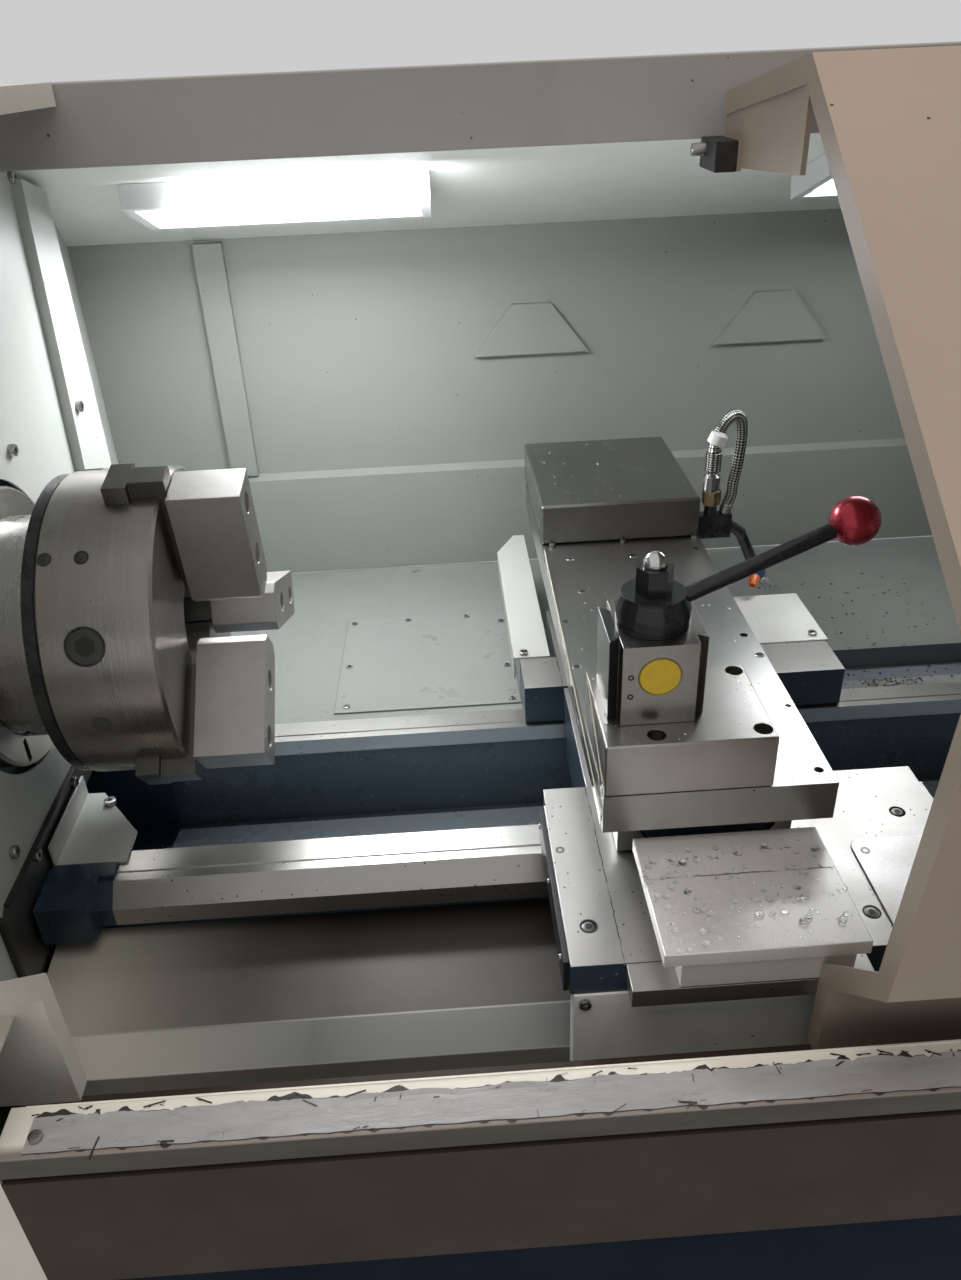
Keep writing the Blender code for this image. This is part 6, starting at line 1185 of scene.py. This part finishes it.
def make_wall_seal():
    """Black seal along the notch of the left wall."""
    wall, proud = SEAL_X
    for name, low, high in (("wall_seal_top", (-0.191, -0.2018), (0.038, -0.1985)),
                            ("wall_seal_front", (-0.212, -0.330), (-0.206, -0.200))):
        seal = slab(name, place(wall, *low), place(proud, *high))
        bevel(seal, lambda middle, edge: middle.x > DATUM.x + proud - HAIR, 0.0010, 2)
        keep(seal, BLACK_RUBBER_AND_SHADE, "machine", "black")


def waves(x, y, z=0.0):
    """Smooth noise between about minus one and one."""
    return noise_field.noise(Vector((x, y, z)))


def make_rail_film():
    """Protective film on the rail, its torn edge, the shreds it left, and the rail's screw."""
    low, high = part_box("front_rail")
    left, right, front, back = low.x + 0.022, high.x - 0.020, low.y + 0.004, high.y - 0.0115
    deselect()
    bpy.ops.mesh.primitive_grid_add(x_subdivisions=FILM_COLUMNS, y_subdivisions=FILM_ROWS, size=1)
    film = settle("rail_film")
    for point in film.data.vertices:
        along, over = point.co.x + HALF, point.co.y + HALF
        x = left + (right - left) * along
        coarse, fine = waves(x * 28, 3.1), waves(x * 150, 7.7)
        edge = back + 0.0020 * coarse + 0.0010 * fine - 0.010 * max(0.0, fine - 0.32)
        foot = front + 0.0012 * waves(x * 60, 1.3)
        y = foot + (edge - foot) * over
        lift = 0.0004 + 0.0003 * abs(waves(x * 40, y * 160, 2))
        if over > 0.95:
            lift += 0.0022 * max(0.0, coarse + 0.35)
        if over < 0.05:
            lift += 0.0008 * max(0.0, waves(x * 45, 9.0))
        point.co = (x, y, high.z + lift)
    make_torn_edge(film, (front + back) / 2, high.z)
    shape_with(film, "SOLIDIFY", thickness=FILM_THICKNESS, offset=1.0)
    keep(film, FILM, "machine", "stainless")
    make_shreds(left, right, front, back, high.z)
    make_rail_edge(low, high)
    seat = standing(place(-0.0809, -0.4267, high.z - DATUM.z))
    spread("rail_screw", cap_screw(0.0055, 0.0045), [seat], SCREW_STEEL, "machine", "stainless")


def make_torn_edge(film, middle, level):
    """Dark jagged strip under the film, showing past both of its edges."""
    dark_strip = add_object("torn_edge", film.data.copy())
    for point in dark_strip.data.vertices:
        x, y, _ = point.co
        behind = y > middle
        reach = 0.0009 + 0.011 * max(0.0, waves(x * 95, 5.5 * behind, 4.0) - 0.15)
        if abs(y - middle) > 0.008:
            y += reach if behind else -reach * 0.6
        point.co = (x, y, level + HAIR)
    shape_with(dark_strip, "SOLIDIFY", thickness=FILM_THICKNESS, offset=-1.0)
    keep(dark_strip, FILM_SHRED, "machine", "black")


def make_shreds(left, right, front, back, level):
    """Shreds of film along both edges of the sheet."""
    chance = random.Random(31)
    matrices = []
    for _ in range(SHRED_COUNT):
        x = chance.uniform(left, right)
        if chance.random() < 0.72:
            y = back + chance.uniform(-0.007, 0.006)
        else:
            y = front + chance.uniform(0, 0.004)
        size = chance.uniform(0.002, 0.006)
        turn = chance.choice((0, 0, 1.5)) + chance.uniform(-0.5, 0.5)
        shape = Matrix.Diagonal((chance.uniform(0.8, 3.0), chance.uniform(0.10, 0.30), 0.5, 1))
        matrices.append(standing(Vector((x, y, level + 0.0005)), UP, turn, size) @ shape)
    spread("film_shreds", curl(), matrices, FILM_SHRED, "machine", "stainless")


def make_rail_edge(low, high):
    """Folded edge along the rail's back, made bright as a painted highlight."""
    fold = slab("rail_fold", (low.x + 0.012, high.y - 0.0026, high.z - HAIR),
                (high.x - 0.012, high.y - 0.0004, high.z + 0.0011))
    bevel(fold, lambda middle, edge: middle.z > high.z + 0.001, 0.0005, 2)
    keep(fold, RAIL_EDGE_HIGHLIGHT, "machine", "stainless")


def make_camera():
    """Camera at the photograph's place."""
    data = bpy.data.cameras.new("camera")
    data.sensor_width = SENSOR
    data.lens = FOCAL
    data.clip_start = 0.02
    item = add_object("camera", data)
    matrix = Matrix((EYE_RIGHT, EYE_UP, -EYE_FORWARD)).transposed().to_4x4()
    matrix.translation = DATUM + EYE
    item.matrix_world = matrix
    bpy.context.scene.camera = item


def make_lamp(name, energy, size, centre, aim, colour=(1, 1, 1)):
    """Rectangular soft lamp at a place, turned to a point."""
    data = bpy.data.lights.new(name, "AREA")
    data.shape = "RECTANGLE"
    data.energy = energy
    data.size, data.size_y = size
    data.color = colour
    item = add_object(name, data)
    item.location = centre
    item.rotation_euler = (aim - centre).to_track_quat("-Z", "Y").to_euler()
    return item


def make_world():
    """Grey studio all round, brighter where it is seen or mirrored than in the light it gives."""
    world = bpy.data.worlds.new("studio")
    bpy.context.scene.world = world
    world.use_nodes = True
    tree = world.node_tree
    path = add(tree, "LightPath")
    camera, mirrored, through = (Value(tree, path.outputs["Is %s Ray" % name])
                                 for name in ("Camera", "Glossy", "Transmission"))
    seen = camera.maths("MAXIMUM", mirrored.maths("MAXIMUM", through))
    inputs = tree.nodes["Background"].inputs
    plug(tree, inputs["Color"], (0.76, 0.76, 0.76))
    plug(tree, inputs["Strength"], seen.ramp(0.0, 1.0, 0.26, 0.80))


def make_lights():
    """Soft studio light, and the light of the two work lamps in the chamber."""
    top = make_lamp("studio_top", 95, (4.0, 3.0), place(0.4, -1.0, 3.4), place(0.4, -0.5, 0),
                    (1.0, 0.94, 0.87))
    front = make_lamp("studio_front", 10, (3.0, 2.0), place(-0.2, -2.7, 0.9), place(0.2, 0, -0.1))
    top.visible_glossy = front.visible_glossy = False
    soft = (("chamber_fill", 0.52, (0.8, 0.2), (0.40, 0.16, 0.22), (0.42, 0.50, 0.40)),
            ("lamp_glow_left", 1.1, (0.30, 0.05), (0.12, 0.34, 0.325), (0.14, 0.74, 0.34)))
    for name, energy, size, centre, aim in soft:
        fill = make_lamp(name, energy, size, place(*centre), place(*aim), LAMP_WHITE)
        fill.visible_camera = fill.visible_glossy = fill.visible_transmission = False
    for name, energy in (("lamp_left_lens", 3.6), ("lamp_right_lens", 1.0)):
        low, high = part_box(name)
        below = (low + high) / 2 + Vector((0, -0.006, -0.030))
        make_lamp(name + "_light", energy, (high.x - low.x, high.y - low.y), below,
                  below + Vector((0, -0.25, -0.9)), LAMP_WHITE)


def make_floor():
    """Plain pale floor."""
    deselect()
    bpy.ops.mesh.primitive_plane_add(size=14, location=(0, 0, 0))
    floor = bpy.context.object
    floor.name = "studio_floor"
    look = Look("studio_floor", 0.8)
    floor.data.materials.append(look.finish((0.80, 0.80, 0.79), 0.8))


# Piece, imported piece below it, area from x to x and y to y, count, sizes, body and seed
DROPS = (
    ("plate_drops", "front_plate", (0.420, 0.592, -0.340, -0.215), 380, 0.0009, 0.0046, "carriage", 3),
    ("riser_drops", "riser_block", (0.392, 0.542, -0.205, -0.090), 110, 0.0005, 0.0019, "slide", 4),
    ("slide_drops", "cross_slide", (0.392, 0.603, -0.205, 0.320), 190, 0.0005, 0.0018, "slide", 5),
    ("wing_drops", "saddle", (0.350, 0.750, -0.335, -0.095), 90, 0.0005, 0.0019, "carriage", 6),
    ("box_drops", "slide_box", (0.392, 0.600, 0.332, 0.570), 70, 0.0006, 0.0024, "slide", 7),
    ("way_drops", "bed", (-0.110, WAY_DROPS_END_X, -0.108, -0.064), 30, 0.0005, 0.0020, "machine", 8),
)
# Piece, area, count, size and seed
CHIPS = (
    ("floor_chips", (0.62, 1.30, 0.20, 0.55), 260, 0.0035, 11),
    ("ledge_chips", (0.805, 0.890, 0.168, 0.205), 230, 0.0028, 12),
    ("ledge_scatter", (0.76, 1.20, 0.165, 0.285), 160, 0.0036, 13),
)

finish_cad_nodes()
make_camera()
make_world()
make_lights()
make_floor()
make_chuck_details()
make_sheet_screws()
make_saddle_screws()
make_wing_cover()
make_slide_screws()
make_post_details()
make_hose()
make_runner()
make_slide_strips()
make_wall_seal()
make_rail_film()
for row in DROPS:
    drops_on(*row)
for row in CHIPS:
    chips_on(*row)
bpy.context.scene.view_settings.view_transform = "Standard"
